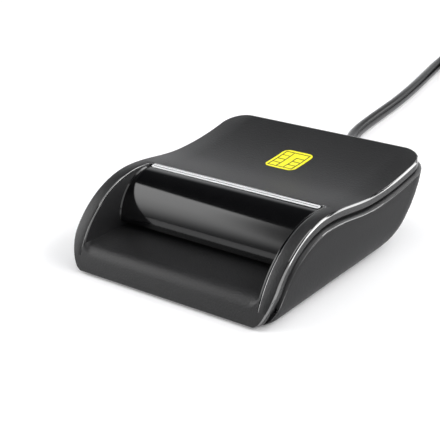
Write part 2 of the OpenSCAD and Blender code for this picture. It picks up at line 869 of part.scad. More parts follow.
// Card detect switch: a pocketed body with an arm that the card presses down
switch_side = 12.29;           // from the last contact to the switch
switch_w = 4.6;
switch_front = 13.4;           // its front end, before the card's stop
switch_l = 9.8;
lever_in = 1.6;
lever_w = 2;
lever_t = 0.7;
lever_arm = 5.4;
lever_run = 1.4;
lever_drop = 0.7;
lever_root_drop = 0.1;
switch_skin = 0.3;
switch_x = contact_x(contacts_in_row - 1) + switch_side;
switch_y = card_stop - switch_front;
lever_root = switch_y + lever_in;
lever_z = root_z - lever_root_drop;
module detect_switch() {
    color([0.1, 0.1, 0.11])
    difference() {
        translate([switch_x - switch_w / 2, switch_y, board_top])
            cube([switch_w, switch_l, block_top - board_top]);
        translate([switch_x - lever_w / 2 - pocket_gap, lever_root, board_top + switch_skin])
            cube([lever_w + 2 * pocket_gap, lever_arm + lever_run + pocket_end, block_top]);
    }
}
module detect_lever() {
    color([0.85, 0.85, 0.82])
    translate([switch_x, lever_root, 0])
        leaf(lever_w, lever_t, lever_arm, root_drop, lever_run, lever_drop, lever_z);
}

module cable_header() {
    color([0.9, 0.88, 0.82])
    translate([-header_w / 2, board_rear - header_d, board_top])
        difference() {
            cube([header_w, header_d, header_h]);
            for (i = [0:core_n - 1])
                translate([header_w / 2 + (i - core_mid) * core_pitch, header_d / 2, core_rise])
                    rotate([-90, 0, 0])
                        cylinder(r = core_r + hair, h = header_d);
        }
}

// One insulated core from the header to the end of the jacket
core_share = 0.9;
module core_run(dx) {
    reach = inner_y - board_rear + header_d / 2 - seat;
    straight = header_d / 2 + core_lead;
    dz = exit_z - core_z;
    run = [for (s = [0, 0.2, 0.4, 0.6, 0.8, 1])
        let (e = (1 - cos(180 * s)) / 2)
        [-dx * e, straight + (reach - straight) * s * core_share, dz * e]];
    tube(concat([[0, 0, 0]], run, [[-dx, reach, dz]]), core_r, 8);
}
module cable_cores() {
    color([0.8, 0.1, 0.1])
    for (i = [0:core_n - 1])
        translate([(i - core_mid) * core_pitch, board_rear - header_d / 2, core_z])
            core_run((i - core_mid) * (core_pitch - core_end_pitch));
}
module cable_inner() {
    color([0.05, 0.05, 0.05])
    translate([0, inner_y, exit_z])
        rotate([-90, 0, 0])
            cylinder(r = cable_r, h = relief_end_y - inner_y);
}
module cable_clamp() {
    color([0.1, 0.1, 0.11])
    translate([0, inner_y + clamp_in, exit_z])
        rotate([-90, 0, 0])
            linear_extrude(clamp_l)
                difference() {
                    translate([-clamp_half, -cable_r - clamp_t])
                        square([2 * clamp_half, 2 * cable_r + clamp_t]);
                    circle(r = cable_r + hair);
                    translate([-cable_r - hair, 0])
                        square([2 * cable_r + 2 * hair, cable_r + over]);
                }
}
module cable_gland() {
    r0 = gland_neck_r - hair;
    color([0.06, 0.06, 0.06])
    translate([0, gland_in_y, exit_z])
        rotate([-90, 0, 0])
            difference() {
                union() {
                    cylinder(r = gland_flange_r, h = gland_flange_t);
                    cylinder(r = r0, h = gland_neck_l);
                    translate([0, 0, gland_neck_l])
                        cylinder(r1 = r0, r2 = relief_end_r, h = relief_l);
                }
                translate([0, 0, -over])
                    cylinder(r = cable_r + bore_gap, h = relief_l + 2 * over + gland_neck_l);
                for (i = [0:3], s = [-1, 1])
                    translate([s * gland_neck_r - slit_depth, -gland_neck_r - over,
                               gland_neck_l + slit_start + i * slit_pitch])
                        cube([2 * slit_depth, 2 * (gland_neck_r + over), slit_t]);
            }
}

// The cable's route from the strain relief along the table to the coil, chosen by hand
ROUTE = [[0, 46, 6.5], [0, 50, 6.5], [-0.6, 54, 5.7], [-2, 58, 4.6], [-4.4, 62, 3.5],
         [-7.6, 66, 2.6], [-11.4, 70, 2.1], [-15.2, 74.4, 1.9], [-18.6, 79, 1.9],
         [-21.6, 84, 1.9], [-23.6, 90, 1.9], [-25, 97, 1.9], [-26.2, 105, 1.9],
         [-27.4, 114, 1.9], [-28.8, 124, 1.9], [-30.4, 133, 1.9], [-32.2, 142, 1.9],
         [-34.2, 151, 1.9], [-36.3, 160, 1.9], [-38.4, 169, 1.9], [-40, 177, 2],
         [-41, 184, 2.2], [-41, 190, 2.6], [-41, 194, 2.6]];
coil_c = [-12, 198];
coil_z = 2.6;
coil_lift = 0.45;              // air between the lower and the upper layer
layer_h = cable_d + coil_lift;
coil_total = 2 * coil_turns + 0.5;
coil_steps = 24;

// A tube swept along points, with rings square to the route
function unit(v) = v / norm(v);
function tangents(p) =
    [for (i = [0:len(p) - 1])
        unit(p[min(i + 1, len(p) - 1)] - p[max(i - 1, 0)])];
function side_of(t) = unit(cross(t, [0, 0, 1]));
module tube(p, r, n) {
    t = tangents(p);
    m = len(p);
    skin([for (i = [0:m - 1])
        let (s = side_of(t[i]), u = cross(s, t[i]))
        [for (k = [0:n - 1])
            let (a = 360 * (k + 0.5) / n)
            p[i] + r * (s * cos(a) + u * sin(a))]]);
}
module cable_lead() {
    color([0.05, 0.05, 0.055])
        tube(ROUTE, cable_r, 8);
}

// One unbroken tube: a spiral inwards on the table, a climb, and the same spiral outwards on top
function coil_turn_r(t) = coil_r - coil_pitch * min(t, coil_total - t);
function coil_climb(t) =
    let (s = min(1, max(0, (t - coil_turns) / 0.5)))
    (1 - cos(180 * s)) / 2;
function coil_pt(t) =
    let (a = 180 - 360 * t, r = coil_turn_r(t))
    [coil_c[0] + r * cos(a), coil_c[1] + r * sin(a), coil_z + layer_h * coil_climb(t)];
coil_n = round(coil_total * coil_steps);
coil_lead = [0, -4, 0];        // straight start and end of the coil's tube
COIL = concat(
    [coil_pt(0) + coil_lead],
    [for (i = [0:coil_n]) coil_pt(coil_total * i / coil_n)],
    [coil_pt(coil_total) + coil_lead]);
// Least distance between points at least a third of a turn apart, less the tube itself
coil_gap = min([for (i = [0:coil_n - 6])
    min([for (j = [i + 8:coil_n + 2]) norm(COIL[i] - COIL[j])])]) - cable_d;
echo(least_gap_of_the_coil = coil_gap);
module cable_coil() {
    color([0.05, 0.05, 0.055])
        tube(COIL, cable_r, 6);
}

// From the coil's end to the plug
TAIL = [[17, 194, 6.85], [17, 190, 6.85], [17, 186, 6.2], [17, 182, 5.2], [17, 178, 4.4],
        [17, 174, 4.2], [17, 170, 4.2]];
function tube_len(p, i = 0) = i > len(p) - 2 ? 0 : norm(p[i + 1] - p[i]) + tube_len(p, i + 1);
echo(cable_length = tube_len(ROUTE) + tube_len(COIL) + tube_len(TAIL));
module cable_tail() {
    color([0.05, 0.05, 0.055])
        tube(TAIL, cable_r, 8);
}

// A strap that closes round all the turns at the far side of the coil
tie_t = 0.6;
tie_w = 6;
tie_in = 1;
tie_out = 0.5;
tie_up = 0.4;
turn_share = 0.25;             // of a turn, from the coil's start to the strap
module coil_tie() {
    r_in = coil_r - coil_pitch * (coil_turns - turn_share) - cable_r - tie_in;
    r_out = coil_r - coil_pitch * turn_share + cable_r + tie_out;
    top = coil_z + layer_h + cable_r + tie_up;
    color([0.08, 0.08, 0.08])
    translate([coil_c[0] - tie_w / 2, coil_c[1], 0])
        difference() {
            translate([0, r_in - tie_t, 0])
                cube([tie_w, r_out - r_in + 2 * tie_t, top + tie_t]);
            translate([-over, r_in, tie_t])
                cube([tie_w + 2 * over, r_out - r_in, top - tie_t]);
        }
}

// The plug lies flat, its axis along -Y
plug_at = [17, 170, 4.2];
nose_l = 9;
nose_wall = 0.4;
nose_in = 0.9;
grip_r = 2.6;
socket_l = 4;                  // metal shell inside the grip
socket_r = 0.5;
shell_r = 0.4;
finger_in = 2;
finger_pitch = 2.2;
finger_w = 1;
finger_depth = 0.25;
finger_first = 4;
window_w = 2.5;
window_l = 2.1;
window_in = 7.6;               // windows back from the open end
tongue_t = 1.95;
tongue_in = 0.5;
tongue_root = 5;
blade_w = 1;
blade_t = 0.2;
blade_start = 1.5;
blade_in = 2;
blade_short = 1;
blade_pitch = 2;
outer_blade_x = 3.5;
grip_end = nose_l + grip_l;
module plug_frame() {
    translate(plug_at)
        rotate([90, 0, 0])
            children();
}
module rounded(w, h, r, l) {
    linear_extrude(l)
        plan_box(w, h, r);
}
module plug_grip() {
    color([0.06, 0.06, 0.065])
    plug_frame()
        difference() {
            union() {
                cylinder(r1 = cable_r + nose_wall, r2 = grip_h / 2 - nose_in, h = nose_l);
                translate([0, 0, nose_l])
                    rounded(grip_w, grip_h, grip_r, grip_l);
            }
            translate([0, 0, grip_end - socket_l])
                rounded(plug_w + 2 * hair, plug_h + 2 * hair, socket_r, socket_l + over);
            // Finger grooves
            for (i = [0:4], s = [-1, 1])
                translate([finger_in - grip_w / 2, s * grip_h / 2 - finger_depth,
                           nose_l + finger_first + i * finger_pitch])
                    cube([grip_w - 2 * finger_in, 2 * finger_depth, finger_w]);
        }
}
module plug_shell() {
    color("silver")
    plug_frame()
        translate([0, 0, grip_end - socket_l])
            difference() {
                rounded(plug_w, plug_h, shell_r, plug_l + socket_l);
                translate([0, 0, -over])
                    rounded(plug_w - 2 * plug_t, plug_h - 2 * plug_t, shell_r / 2,
                        plug_l + socket_l + 2 * over);
                for (x = [-1, 1], s = [-1, 1])
                    translate([x * plug_w / 4 - window_w / 2, s * plug_h / 2 - over,
                               socket_l + plug_l - window_in])
                        cube([window_w, 2 * over, window_l]);
            }
}
module plug_tongue() {
    w = plug_w - 2 * plug_t - 2 * seat;
    color("white")
    plug_frame()
        translate([-w / 2, -plug_h / 2 + plug_t + seat, grip_end - socket_l]) {
            cube([w, tongue_t, plug_l + socket_l - tongue_in]);
            cube([w, plug_h - 2 * plug_t - 2 * seat, tongue_root]);
        }
}
module plug_contacts() {
    color([0.85, 0.7, 0.35])
    plug_frame()
        for (s = [-1, 1]) {
            translate([s * outer_blade_x - blade_w / 2, -plug_h / 2 + plug_t + seat + tongue_t,
                       grip_end + blade_start])
                cube([blade_w, blade_t, plug_l - blade_start - blade_in]);
            translate([s * blade_pitch / 2 - blade_w / 2, -plug_h / 2 + plug_t + seat + tongue_t,
                       grip_end + blade_start])
                cube([blade_w, blade_t, plug_l - blade_start - blade_in - blade_short]);
        }
}

bottom_shell();
top_shell();
slot_bezel();
rim_strip();
chip_symbol();
rubber_feet();
case_screws();
circuit_board();
board_screws();
controller_chip();
clock_crystal();
board_parts();
contact_block();
contact_tails();
card_guide();
detect_switch();
detect_lever();
contact_c1();
contact_c2();
contact_c3();
contact_c4();
contact_c5();
contact_c6();
contact_c7();
contact_c8();
cable_header();
cable_cores();
cable_inner();
cable_clamp();
cable_gland();
cable_lead();
cable_coil();
cable_tail();
coil_tie();
plug_grip();
plug_shell();
plug_tongue();
plug_contacts();
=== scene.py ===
import math

import bmesh
import bpy
from mathutils import Matrix, Vector


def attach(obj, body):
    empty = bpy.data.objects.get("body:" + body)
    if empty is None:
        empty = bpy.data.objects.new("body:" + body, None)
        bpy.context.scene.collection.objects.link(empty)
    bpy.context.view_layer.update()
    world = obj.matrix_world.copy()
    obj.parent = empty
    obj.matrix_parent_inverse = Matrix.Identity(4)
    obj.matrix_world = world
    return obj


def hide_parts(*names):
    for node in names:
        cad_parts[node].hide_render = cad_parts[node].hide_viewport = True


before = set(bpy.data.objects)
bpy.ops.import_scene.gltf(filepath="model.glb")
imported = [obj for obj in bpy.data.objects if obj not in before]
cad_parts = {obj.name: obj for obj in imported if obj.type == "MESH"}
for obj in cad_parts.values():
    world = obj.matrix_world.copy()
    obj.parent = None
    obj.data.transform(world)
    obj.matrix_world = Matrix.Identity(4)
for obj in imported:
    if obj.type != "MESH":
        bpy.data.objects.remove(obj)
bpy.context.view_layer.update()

# The table and the studio. A matt laminate table in a grey room, lit by a large soft box in front
# on the left that fades across its sheet, by three narrow ones behind that graze the edges, by one
# overhead and by a wide one beside the camera.
MM = 0.001
LIT_POINT = (0, -10, 12)
ROOM_SHADES = [(0.0, "#f2f3f5"), (0.25, "#f0f1f3"), (0.4, "#d4d5d7"), (0.52, "#3a3b3d"),
               (0.84, "#2e2f31"), (0.93, "#6a6b6d"), (1.0, "#7a7b7d")]
ROOM_BRIGHT_WAY = (-0.72, 0.69, 0.0)
ROOM_FADE = (-0.5, 0.8)
ROOM_STRENGTH = (0.15, 1.15)
KEY_WAY = (-0.57, -0.50, 0.62)
KEY_POINT = (-99.6, -97.7, -150)
KEY_DISTANCE = 800
KEY_WIDTH, KEY_HEIGHT = 900, 840
KEY_WATTS = 9.5
KEY_SHIFT = 210  # the fade's corner lies this far above the sheet's middle
KEY_FADES = [((0.79, 0.61), (-5, 75), 0.1),  # way on the sheet, span, share left past it
             ((0.61, -0.79), (-50, 650), 0.02)]
SOFTBOXES = {  # way from the lit point, distance, width, height, watts
    "edge_box": ((0.66, 0.33, 0.67), 700, 825, 220, 2.8),
    "ledge_box": ((0.34, 0.54, 0.77), 700, 620, 200, 0.9),
    "dip_box": ((0.30, 0.86, 0.42), 700, 420, 160, 0.7),
    "top_box": ((0, 0, 1), 900, 700, 700, 2.2),
    "fill_box": ((0.68, -0.60, 0.42), 750, 900, 640, 2.6),
}
TABLE_HALF = 3000
TABLE_FLECK = 1.1
TABLE_GLOW = 0.12
CAMERA_LENS = 99.17
CAMERA_PLACE = (175.0, -230.81, 132.01)
CAMERA_AHEAD = (-0.57540, 0.71771, -0.39219)
CAMERA_UP = (-0.21725, 0.32818, 0.91930)


def linear(code):
    """Turns an sRGB hex value into the linear colour that a shader socket takes."""
    parts = [int(code[i:i + 2], 16) / 255 for i in (1, 3, 5)]
    return [p / 12.92 if p <= 0.04045 else ((p + 0.055) / 1.055) ** 2.4 for p in parts] + [1.0]


def add(material, kind, sets=None, links=None):
    """Adds one node: sets are its colours, properties and socket values, links its inputs."""
    made = material.node_tree.nodes.new(kind)
    for key, value in (sets or {}).items():
        if key == "colours":
            for stop, code in zip(made.color_ramp.elements, value):
                stop.color = linear(code)
        elif isinstance(key, str) and hasattr(made, key):
            setattr(made, key, value)
        else:
            made.inputs[key].default_value = value
    for key, (source, output) in (links or {}).items():
        material.node_tree.links.new(source.outputs[output], made.inputs[key])
    return made


def surface(name):
    """A new material with no nodes yet."""
    made = bpy.data.materials.new(name)
    made.use_nodes = True
    made.node_tree.nodes.clear()
    return made


def close(material, shader, output="BSDF"):
    """Joins the last shader to the material's output."""
    add(material, "ShaderNodeOutputMaterial", links={"Surface": (shader, output)})
    return material


def put(name, data):
    """Adds an object with this data to the scene."""
    made = bpy.data.objects.new(name, data)
    bpy.context.scene.collection.objects.link(made)
    return made


def softbox(name, way, distance, width, height, watts, point=LIT_POINT):
    """An area lamp that faces a point from a direction, its sizes in millimetres."""
    lamp = bpy.data.lights.new(name, "AREA")
    lamp.shape = "RECTANGLE"
    lamp.size, lamp.size_y = width * MM, height * MM
    lamp.energy = watts
    holder = put(name, lamp)
    way = Vector(way).normalized()
    holder.location = (Vector(point) + way * distance) * MM
    holder.rotation_mode = "QUATERNION"
    holder.rotation_quaternion = (-way).to_track_quat("-Z", "Y")
    return lamp


bpy.context.scene.view_settings.view_transform = "Standard"

# The room is pale low down, like the table, and dark above, and brighter behind on the left
room = bpy.data.worlds.new("studio_air")
room.use_nodes = True
room_way = add(room, "ShaderNodeTexCoord")
room_axes = add(room, "ShaderNodeSeparateXYZ", links={"Vector": (room_way, "Generated")})
room_shade = add(room, "ShaderNodeValToRGB", links={"Fac": (room_axes, "Z")})
for place, shade in ROOM_SHADES[1:-1]:
    room_shade.color_ramp.elements.new(place)
for stop, (place, shade) in zip(room_shade.color_ramp.elements, ROOM_SHADES):
    stop.position, stop.color = place, linear(shade)
room_side = add(room, "ShaderNodeVectorMath", {"operation": "DOT_PRODUCT", 1: ROOM_BRIGHT_WAY},
                {0: (room_way, "Generated")})
room_strength = add(room, "ShaderNodeMapRange",
                    {"interpolation_type": "SMOOTHSTEP",
                     "From Min": ROOM_FADE[0], "From Max": ROOM_FADE[1],
                     "To Min": ROOM_STRENGTH[0], "To Max": ROOM_STRENGTH[1]},
                    {"Value": (room_side, "Value")})
room_light = room.node_tree.nodes["Background"]
room.node_tree.links.new(room_shade.outputs["Color"], room_light.inputs["Color"])
room.node_tree.links.new(room_strength.outputs["Result"], room_light.inputs["Strength"])
bpy.context.scene.world = room

# Each fade dims the key box's sheet along one direction on it, over a span in millimetres
key_sheet = softbox("key_box", KEY_WAY, KEY_DISTANCE, KEY_WIDTH, KEY_HEIGHT, KEY_WATTS, KEY_POINT)
key_sheet.use_nodes = True
key_place = add(key_sheet, "ShaderNodeNewGeometry")
key_shares = []
for (share_x, share_y), (fade_from, fade_to), least in KEY_FADES:
    run_x, run_y = share_x * KEY_WIDTH, share_y * KEY_HEIGHT
    middle = (run_x + run_y) / 2 + share_y * KEY_SHIFT
    key_run = add(key_sheet, "ShaderNodeVectorMath",
                  {"operation": "DOT_PRODUCT", 1: (run_x, run_y, 0)},
                  {0: (key_place, "Parametric")})
    key_shares.append(add(key_sheet, "ShaderNodeMapRange",
                          {"interpolation_type": "SMOOTHSTEP", "From Min": middle + fade_from,
                           "From Max": middle + fade_to, "To Min": 1.0, "To Max": least},
                          {"Value": (key_run, "Value")}))
key_both = add(key_sheet, "ShaderNodeMath", {"operation": "MULTIPLY"},
               {0: (key_shares[0], "Result"), 1: (key_shares[1], "Result")})
key_nodes = key_sheet.node_tree
key_nodes.links.new(key_both.outputs["Value"], key_nodes.nodes["Emission"].inputs["Strength"])
for name, values in SOFTBOXES.items():
    softbox(name, *values)

# Matt laminate: a near white that shows only a soft shadow, lifted a little where it is looked at
table_paint = surface("matt_table_laminate")
table_place = add(table_paint, "ShaderNodeTexCoord")
table_fleck = add(table_paint, "ShaderNodeTexNoise",
                  {"Scale": 1 / (TABLE_FLECK * MM), "Detail": 2.0},
                  {"Vector": (table_place, "Object")})
table_shade = add(table_paint, "ShaderNodeValToRGB", {"colours": ("#f3f3f4", "#f8f8f9")},
                  {"Fac": (table_fleck, "Fac")})
table_shader = add(table_paint, "ShaderNodeBsdfPrincipled", {"Roughness": 0.7},
                   {"Base Color": (table_shade, "Color")})
table_ray = add(table_paint, "ShaderNodeLightPath")
table_seen = add(table_paint, "ShaderNodeMath", {"operation": "MAXIMUM"},
                 {0: (table_ray, "Is Camera Ray"), 1: (table_ray, "Is Glossy Ray")})
table_through = add(table_paint, "ShaderNodeMath", {"operation": "MAXIMUM"},
                    {0: (table_seen, "Value"), 1: (table_ray, "Is Transmission Ray")})
table_glow = add(table_paint, "ShaderNodeMath", {"operation": "MULTIPLY", 1: TABLE_GLOW},
                 {0: (table_through, "Value")})
table_lift = add(table_paint, "ShaderNodeEmission", links={"Strength": (table_glow, "Value")})
table_sum = add(table_paint, "ShaderNodeAddShader",
                links={0: (table_shader, "BSDF"), 1: (table_lift, "Emission")})
close(table_paint, table_sum, "Shader")
table = bmesh.new()
bmesh.ops.create_grid(table, x_segments=2, y_segments=2, size=TABLE_HALF * MM)
table_mesh = bpy.data.meshes.new("table_top")
table.to_mesh(table_mesh)
table.free()
table_mesh.materials.append(table_paint)
table_top = put("table_top", table_mesh)

view = bpy.data.cameras.new("product_view")
view.lens = CAMERA_LENS
view.sensor_width = 36.0
view.clip_start = 0.01
view.clip_end = 10.0
camera = put("product_view", view)
ahead = Vector(CAMERA_AHEAD).normalized()
right = ahead.cross(Vector(CAMERA_UP)).normalized()
turn = Matrix((right, right.cross(ahead), -ahead)).transposed().to_4x4()
camera.matrix_world = Matrix.Translation(Vector(CAMERA_PLACE) * MM) @ turn
bpy.context.scene.camera = camera


# The lower shell. A boat-shaped tub of black ABS, injection moulded against a spark-eroded tool,
# with a soft edge along the shadow groove. It carries every other piece on its bosses, posts and
# ribs, and four screws from below hold the upper shell on it.
BODY_HALF = 32.5
BODY_FRONT = -36.0
BODY_REAR = 36.5
FOOT_HEIGHT = 0.8
CREST_Y = -10.8
CREST_HEIGHT = 20.8
DIP_Y = 9.5
DIP_HEIGHT = 19.0
REAR_HEIGHT = 22.9
NOSE_BEND = 25.9  # radius of the side outline before the crest
SIDE_STEP = 0.8  # the upper shell stands back by this
TOP_THICKNESS = 1.9
SIDE_TUCK = 5.2  # draw-in of the sides at the base
STERN_TUCK = 7.6
CORNER_RIM = 6.2
CORNER_BASE = 17.5
CORNER_NOSE = 4.2
RISE_SHARES = [0, 0.055, 0.17, 0.35, 0.56, 0.79, 1.1]
SIDE_SHARES = [1, 0.58, 0.24, 0.07, 0.02, 0, 0]
STERN_SHARES = [1, 0.71, 0.46, 0.26, 0.11, 0.03, 0]
ROUND_SHARES = [1, 0.87, 0.73, 0.53, 0.27, 0.07, 0]
TUCK_START = 22.0  # before this the sides' draw-in fades towards the front
FRONT_FILL = 0.5
RING_SHARES = [0, 0.015, 0.035, 0.06, 0.09, 0.13, 0.18, 0.24, 0.32, 0.42, 0.54, 0.68, 0.84, 1]
SIDE_STATIONS = 64
CORNER_STATIONS = 12
END_STATIONS = 12
GROOVE = 0.75  # height of the groove between the shells
GROOVE_BACK = 1.6  # and its depth
LEDGE_DEPTH = 0.5  # height of the sloped ledge under the groove
LEDGE_WIDTH = 1.1
SOFT_EDGE = 0.3
SOFT_EDGE_TURN = math.radians(60)
SOFT_EDGE_STEPS = 3
FLOOR_HEIGHT = 2.4
STEP_HEIGHT = 6.9  # the guide rests on this step
HOLLOW_FRONT = -31.6
HOLLOW_NOSE = 2
HOLLOW_HIGH = (30.6, 32.6, 14)  # half width, rear end and rear corner above the step
HOLLOW_LOW = (28.5, 29.4, 18.5)
MOUTH_HALF = 27.75
TRAY_UNDERSIDE = 5.4
TRAY_ROOM = 1.2  # beside the tray
LIP_ROOM = -29  # and behind the lip
SCREW_PLACES = [(24.2, -26.6), (-24.2, -26.6), (10, 27.7), (-10, 27.7)]
SCREW_DRILLS = [(2.05, 1.9), (1.1, 3.0)]  # radius and top of a head's hole and a shank's
FOOT_PLACES = [(23, -17.6), (-23, -17.6), (17, 19), (-17, 19)]
FOOT_DRILL = (4.0, 1.5)
DRILL_START = -1
GLAND_DRILL = ((0, 27, 6.5), 2.9, 15)  # start, radius, length
FUSED = 0.05  # what stands on the floor starts this far inside it
BOSS_SIZE = (3, 0.9)  # radius and height above the floor
BOARD_POSTS = [(17.5, -8, 2.6), (17.5, 18.6, 2)]  # place and radius
BOARD_POST_HEIGHT = 1
RIB_MIDDLE = 26.05
RIB_HALF = 0.9
RIB_LENGTH = 1.4
RIB_TOP = 6.95
RIB_PLACES = (-12, 4, 17)
SADDLE_HALF = 4.6
SADDLE_ENDS = (25.4, 29.4)
SADDLE_TOP = 4.6
SHARP_TURN = math.radians(32)  # a real edge turns by more than this
HAIR = 0.001  # less than this counts as nothing


def outline(y, sunk):
    """Height of the body's side outline at y, sunk below it by a depth."""
    if y < CREST_Y:
        inside = (NOSE_BEND - sunk) ** 2 - (CREST_Y - y) ** 2
        return CREST_HEIGHT - NOSE_BEND + math.sqrt(max(0.0, inside))
    if y < DIP_Y:
        wave = math.cos(math.pi * (y - CREST_Y) / (DIP_Y - CREST_Y))
        return (CREST_HEIGHT + DIP_HEIGHT) / 2 + (CREST_HEIGHT - DIP_HEIGHT) / 2 * wave - sunk
    rise = ((y - DIP_Y) / (BODY_REAR - DIP_Y)) ** 2
    return DIP_HEIGHT + (REAR_HEIGHT - DIP_HEIGHT) * rise - sunk


def parting(y):
    """Height of the parting line between the shells."""
    return max(FOOT_HEIGHT, outline(y, TOP_THICKNESS))


def eased(shares, height):
    """The share at a height, eased between the heights that RISE_SHARES place."""
    u = max(0.0, (height - FOOT_HEIGHT) / (REAR_HEIGHT - FOOT_HEIGHT))
    k = max(i for i in range(len(RISE_SHARES) - 1) if RISE_SHARES[i] <= u)
    span = RISE_SHARES[k + 1] - RISE_SHARES[k]
    t = (u - RISE_SHARES[k]) / span
    slopes = []
    for i in (k, k + 1):
        low, high = max(i - 1, 0), min(i + 1, len(shares) - 1)
        slopes.append((shares[high] - shares[low]) / (RISE_SHARES[high] - RISE_SHARES[low]) * span)
    return ((2 * t ** 3 - 3 * t * t + 1) * shares[k] + (t ** 3 - 2 * t * t + t) * slopes[0]
            + (3 * t * t - 2 * t ** 3) * shares[k + 1] + (t ** 3 - t * t) * slopes[1])


def round_plan(half, front, rear, nose, stern):
    """Points of a round-cornered plan, as many on each stretch whatever its size."""
    corners = [(half - nose, front + nose, nose), (half - stern, rear - stern, stern),
               (stern - half, rear - stern, stern), (nose - half, front + nose, nose)]
    points = []
    for k, (x, y, radius) in enumerate(corners):
        for i in range(CORNER_STATIONS):
            turned = math.pi / 2 * (k - 1 + i / CORNER_STATIONS)
            points.append((x + radius * math.cos(turned), y + radius * math.sin(turned)))
        next_x, next_y, next_radius = corners[(k + 1) % 4]
        out_x, out_y = round(math.cos(math.pi / 2 * k)), round(math.sin(math.pi / 2 * k))
        x0, y0 = x + radius * out_x, y + radius * out_y
        x1, y1 = next_x + next_radius * out_x, next_y + next_radius * out_y
        count = END_STATIONS if k % 2 else SIDE_STATIONS
        points += [(x0 + (x1 - x0) * i / count, y0 + (y1 - y0) * i / count) for i in range(count)]
    return points


def hull_plan(height, inset):
    """The lower shell's plan at a height, drawn in by an inset."""
    half = BODY_HALF - SIDE_TUCK * eased(SIDE_SHARES, height) - inset
    rear = BODY_REAR - STERN_TUCK * eased(STERN_SHARES, height) - inset
    stern = CORNER_RIM + (CORNER_BASE - CORNER_RIM) * eased(ROUND_SHARES, height)
    return round_plan(half, BODY_FRONT + SIDE_STEP + inset, rear, CORNER_NOSE - min(inset, 2),
                      max(stern - inset, 2))


# The front stops where the inside of the upper shell's lip comes down to the lower shell's base
lip_inside = CREST_Y - math.sqrt((NOSE_BEND - TOP_THICKNESS) ** 2
                                 - (FOOT_HEIGHT - CREST_HEIGHT + NOSE_BEND) ** 2)
rim_line = hull_plan(REAR_HEIGHT, 0)
stations = [(x, max(y, lip_inside)) for x, y in rim_line]


def hull_ring(share, inset, sunk):
    """One ring of the lower shell, at a share of the way up to the parting line less sunk."""
    places = []
    for i, (x, y) in enumerate(stations):
        top = max(FOOT_HEIGHT + HAIR, parting(y) - sunk)
        height = FOOT_HEIGHT + (top - FOOT_HEIGHT) * share
        px, py = hull_plan(height, inset)[i]
        forward = min(1.0, max(0.0, (TUCK_START - py) / (TUCK_START - BODY_FRONT)))
        px *= 1 + FRONT_FILL * forward * SIDE_TUCK * eased(SIDE_SHARES, height) / BODY_HALF
        places.append((px, max(py, y) if y > rim_line[i][1] + HAIR else py, height))
    return places


def hollow_ring(height, half, rear, stern):
    """One ring of the hollow inside, never above the parting line or the tray."""
    places = []
    for x, y in round_plan(half, HOLLOW_FRONT, rear, HOLLOW_NOSE, stern):
        lid = parting(y)
        if abs(x) < MOUTH_HALF + TRAY_ROOM and y < LIP_ROOM:
            lid = min(lid, TRAY_UNDERSIDE)
        places.append((x, y, min(height, max(lid, FLOOR_HEIGHT + 0.1))))
    return places


def first_ring(bm, places):
    """A closed ring of points at their places."""
    ring = bmesh.ops.create_circle(bm, segments=len(places), radius=1)["verts"]
    for point, place in zip(ring, places):
        point.co = place
    return ring


def next_ring(bm, ring, places):
    """Extrudes a closed ring of points once and moves the new points to their places."""
    edges = [bm.edges.get((a, b)) for a, b in zip(ring, ring[1:] + ring[:1])]
    grown = bmesh.ops.extrude_edge_only(bm, edges=edges)["geom"]
    fresh = {g for g in grown if isinstance(g, bmesh.types.BMVert)}
    upper = [next(e.other_vert(v) for e in v.link_edges if e.other_vert(v) in fresh) for v in ring]
    for point, place in zip(upper, places):
        point.co = place
    return upper


def cap(bm, ring):
    """Closes a ring with one flat face."""
    bmesh.ops.contextual_create(
        bm, geom=[bm.edges.get((a, b)) for a, b in zip(ring, ring[1:] + ring[:1])])


def rod(bm, at, radius, length, along="Z", sides=32):
    """A round bar from a point, for bosses, posts and the drills that cut holes."""
    made = bmesh.ops.create_cone(bm, cap_ends=True, segments=sides, radius1=radius,
                                 radius2=radius, depth=length)["verts"]
    bmesh.ops.translate(bm, verts=made, vec=(0, 0, length / 2))
    if along == "Y":
        bmesh.ops.rotate(bm, verts=made, cent=(0, 0, 0),
                         matrix=Matrix.Rotation(-math.pi / 2, 3, "X"))
    bmesh.ops.translate(bm, verts=made, vec=at)


def brick(bm, low, high):
    """A block from its lowest to its highest corner."""
    made = bmesh.ops.create_cube(bm, size=1)["verts"]
    bmesh.ops.scale(bm, verts=made, vec=[b - a for a, b in zip(low, high)])
    bmesh.ops.translate(bm, verts=made, vec=[(a + b) / 2 for a, b in zip(low, high)])


def drill(bm, drills):
    """Cuts the drills' solids out of a mesh."""
    holders = []
    for part in (bm, drills):
        mesh = bpy.data.meshes.new("blank")
        part.to_mesh(mesh)
        part.free()
        holders.append(put("blank", mesh))
    cut = holders[0].modifiers.new("holes", "BOOLEAN")
    cut.operation = "DIFFERENCE"
    cut.solver = "EXACT"
    cut.use_self = True
    cut.object = holders[1]
    done = holders[0].evaluated_get(bpy.context.evaluated_depsgraph_get())
    out = bmesh.new()
    out.from_mesh(done.to_mesh())
    done.to_mesh_clear()
    for holder in holders:
        bpy.data.objects.remove(holder)
    return out


def settle(bm, name, material, slot, body, *nodes):
    """Brings a mesh from millimetres to metres, shades it smooth between real edges, places it.

    Where there are several materials, they are a list, and each face's index chooses one."""
    bmesh.ops.scale(bm, vec=(MM, MM, MM), verts=bm.verts)
    mesh = bpy.data.meshes.new(name)
    bm.to_mesh(mesh)
    bm.free()
    mesh.shade_smooth()
    mesh.set_sharp_from_angle(angle=SHARP_TURN)
    for finish in material if isinstance(material, list) else [material]:
        mesh.materials.append(finish)
    made = put(name, mesh)
    if nodes:
        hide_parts(*nodes)
    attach(made, body)


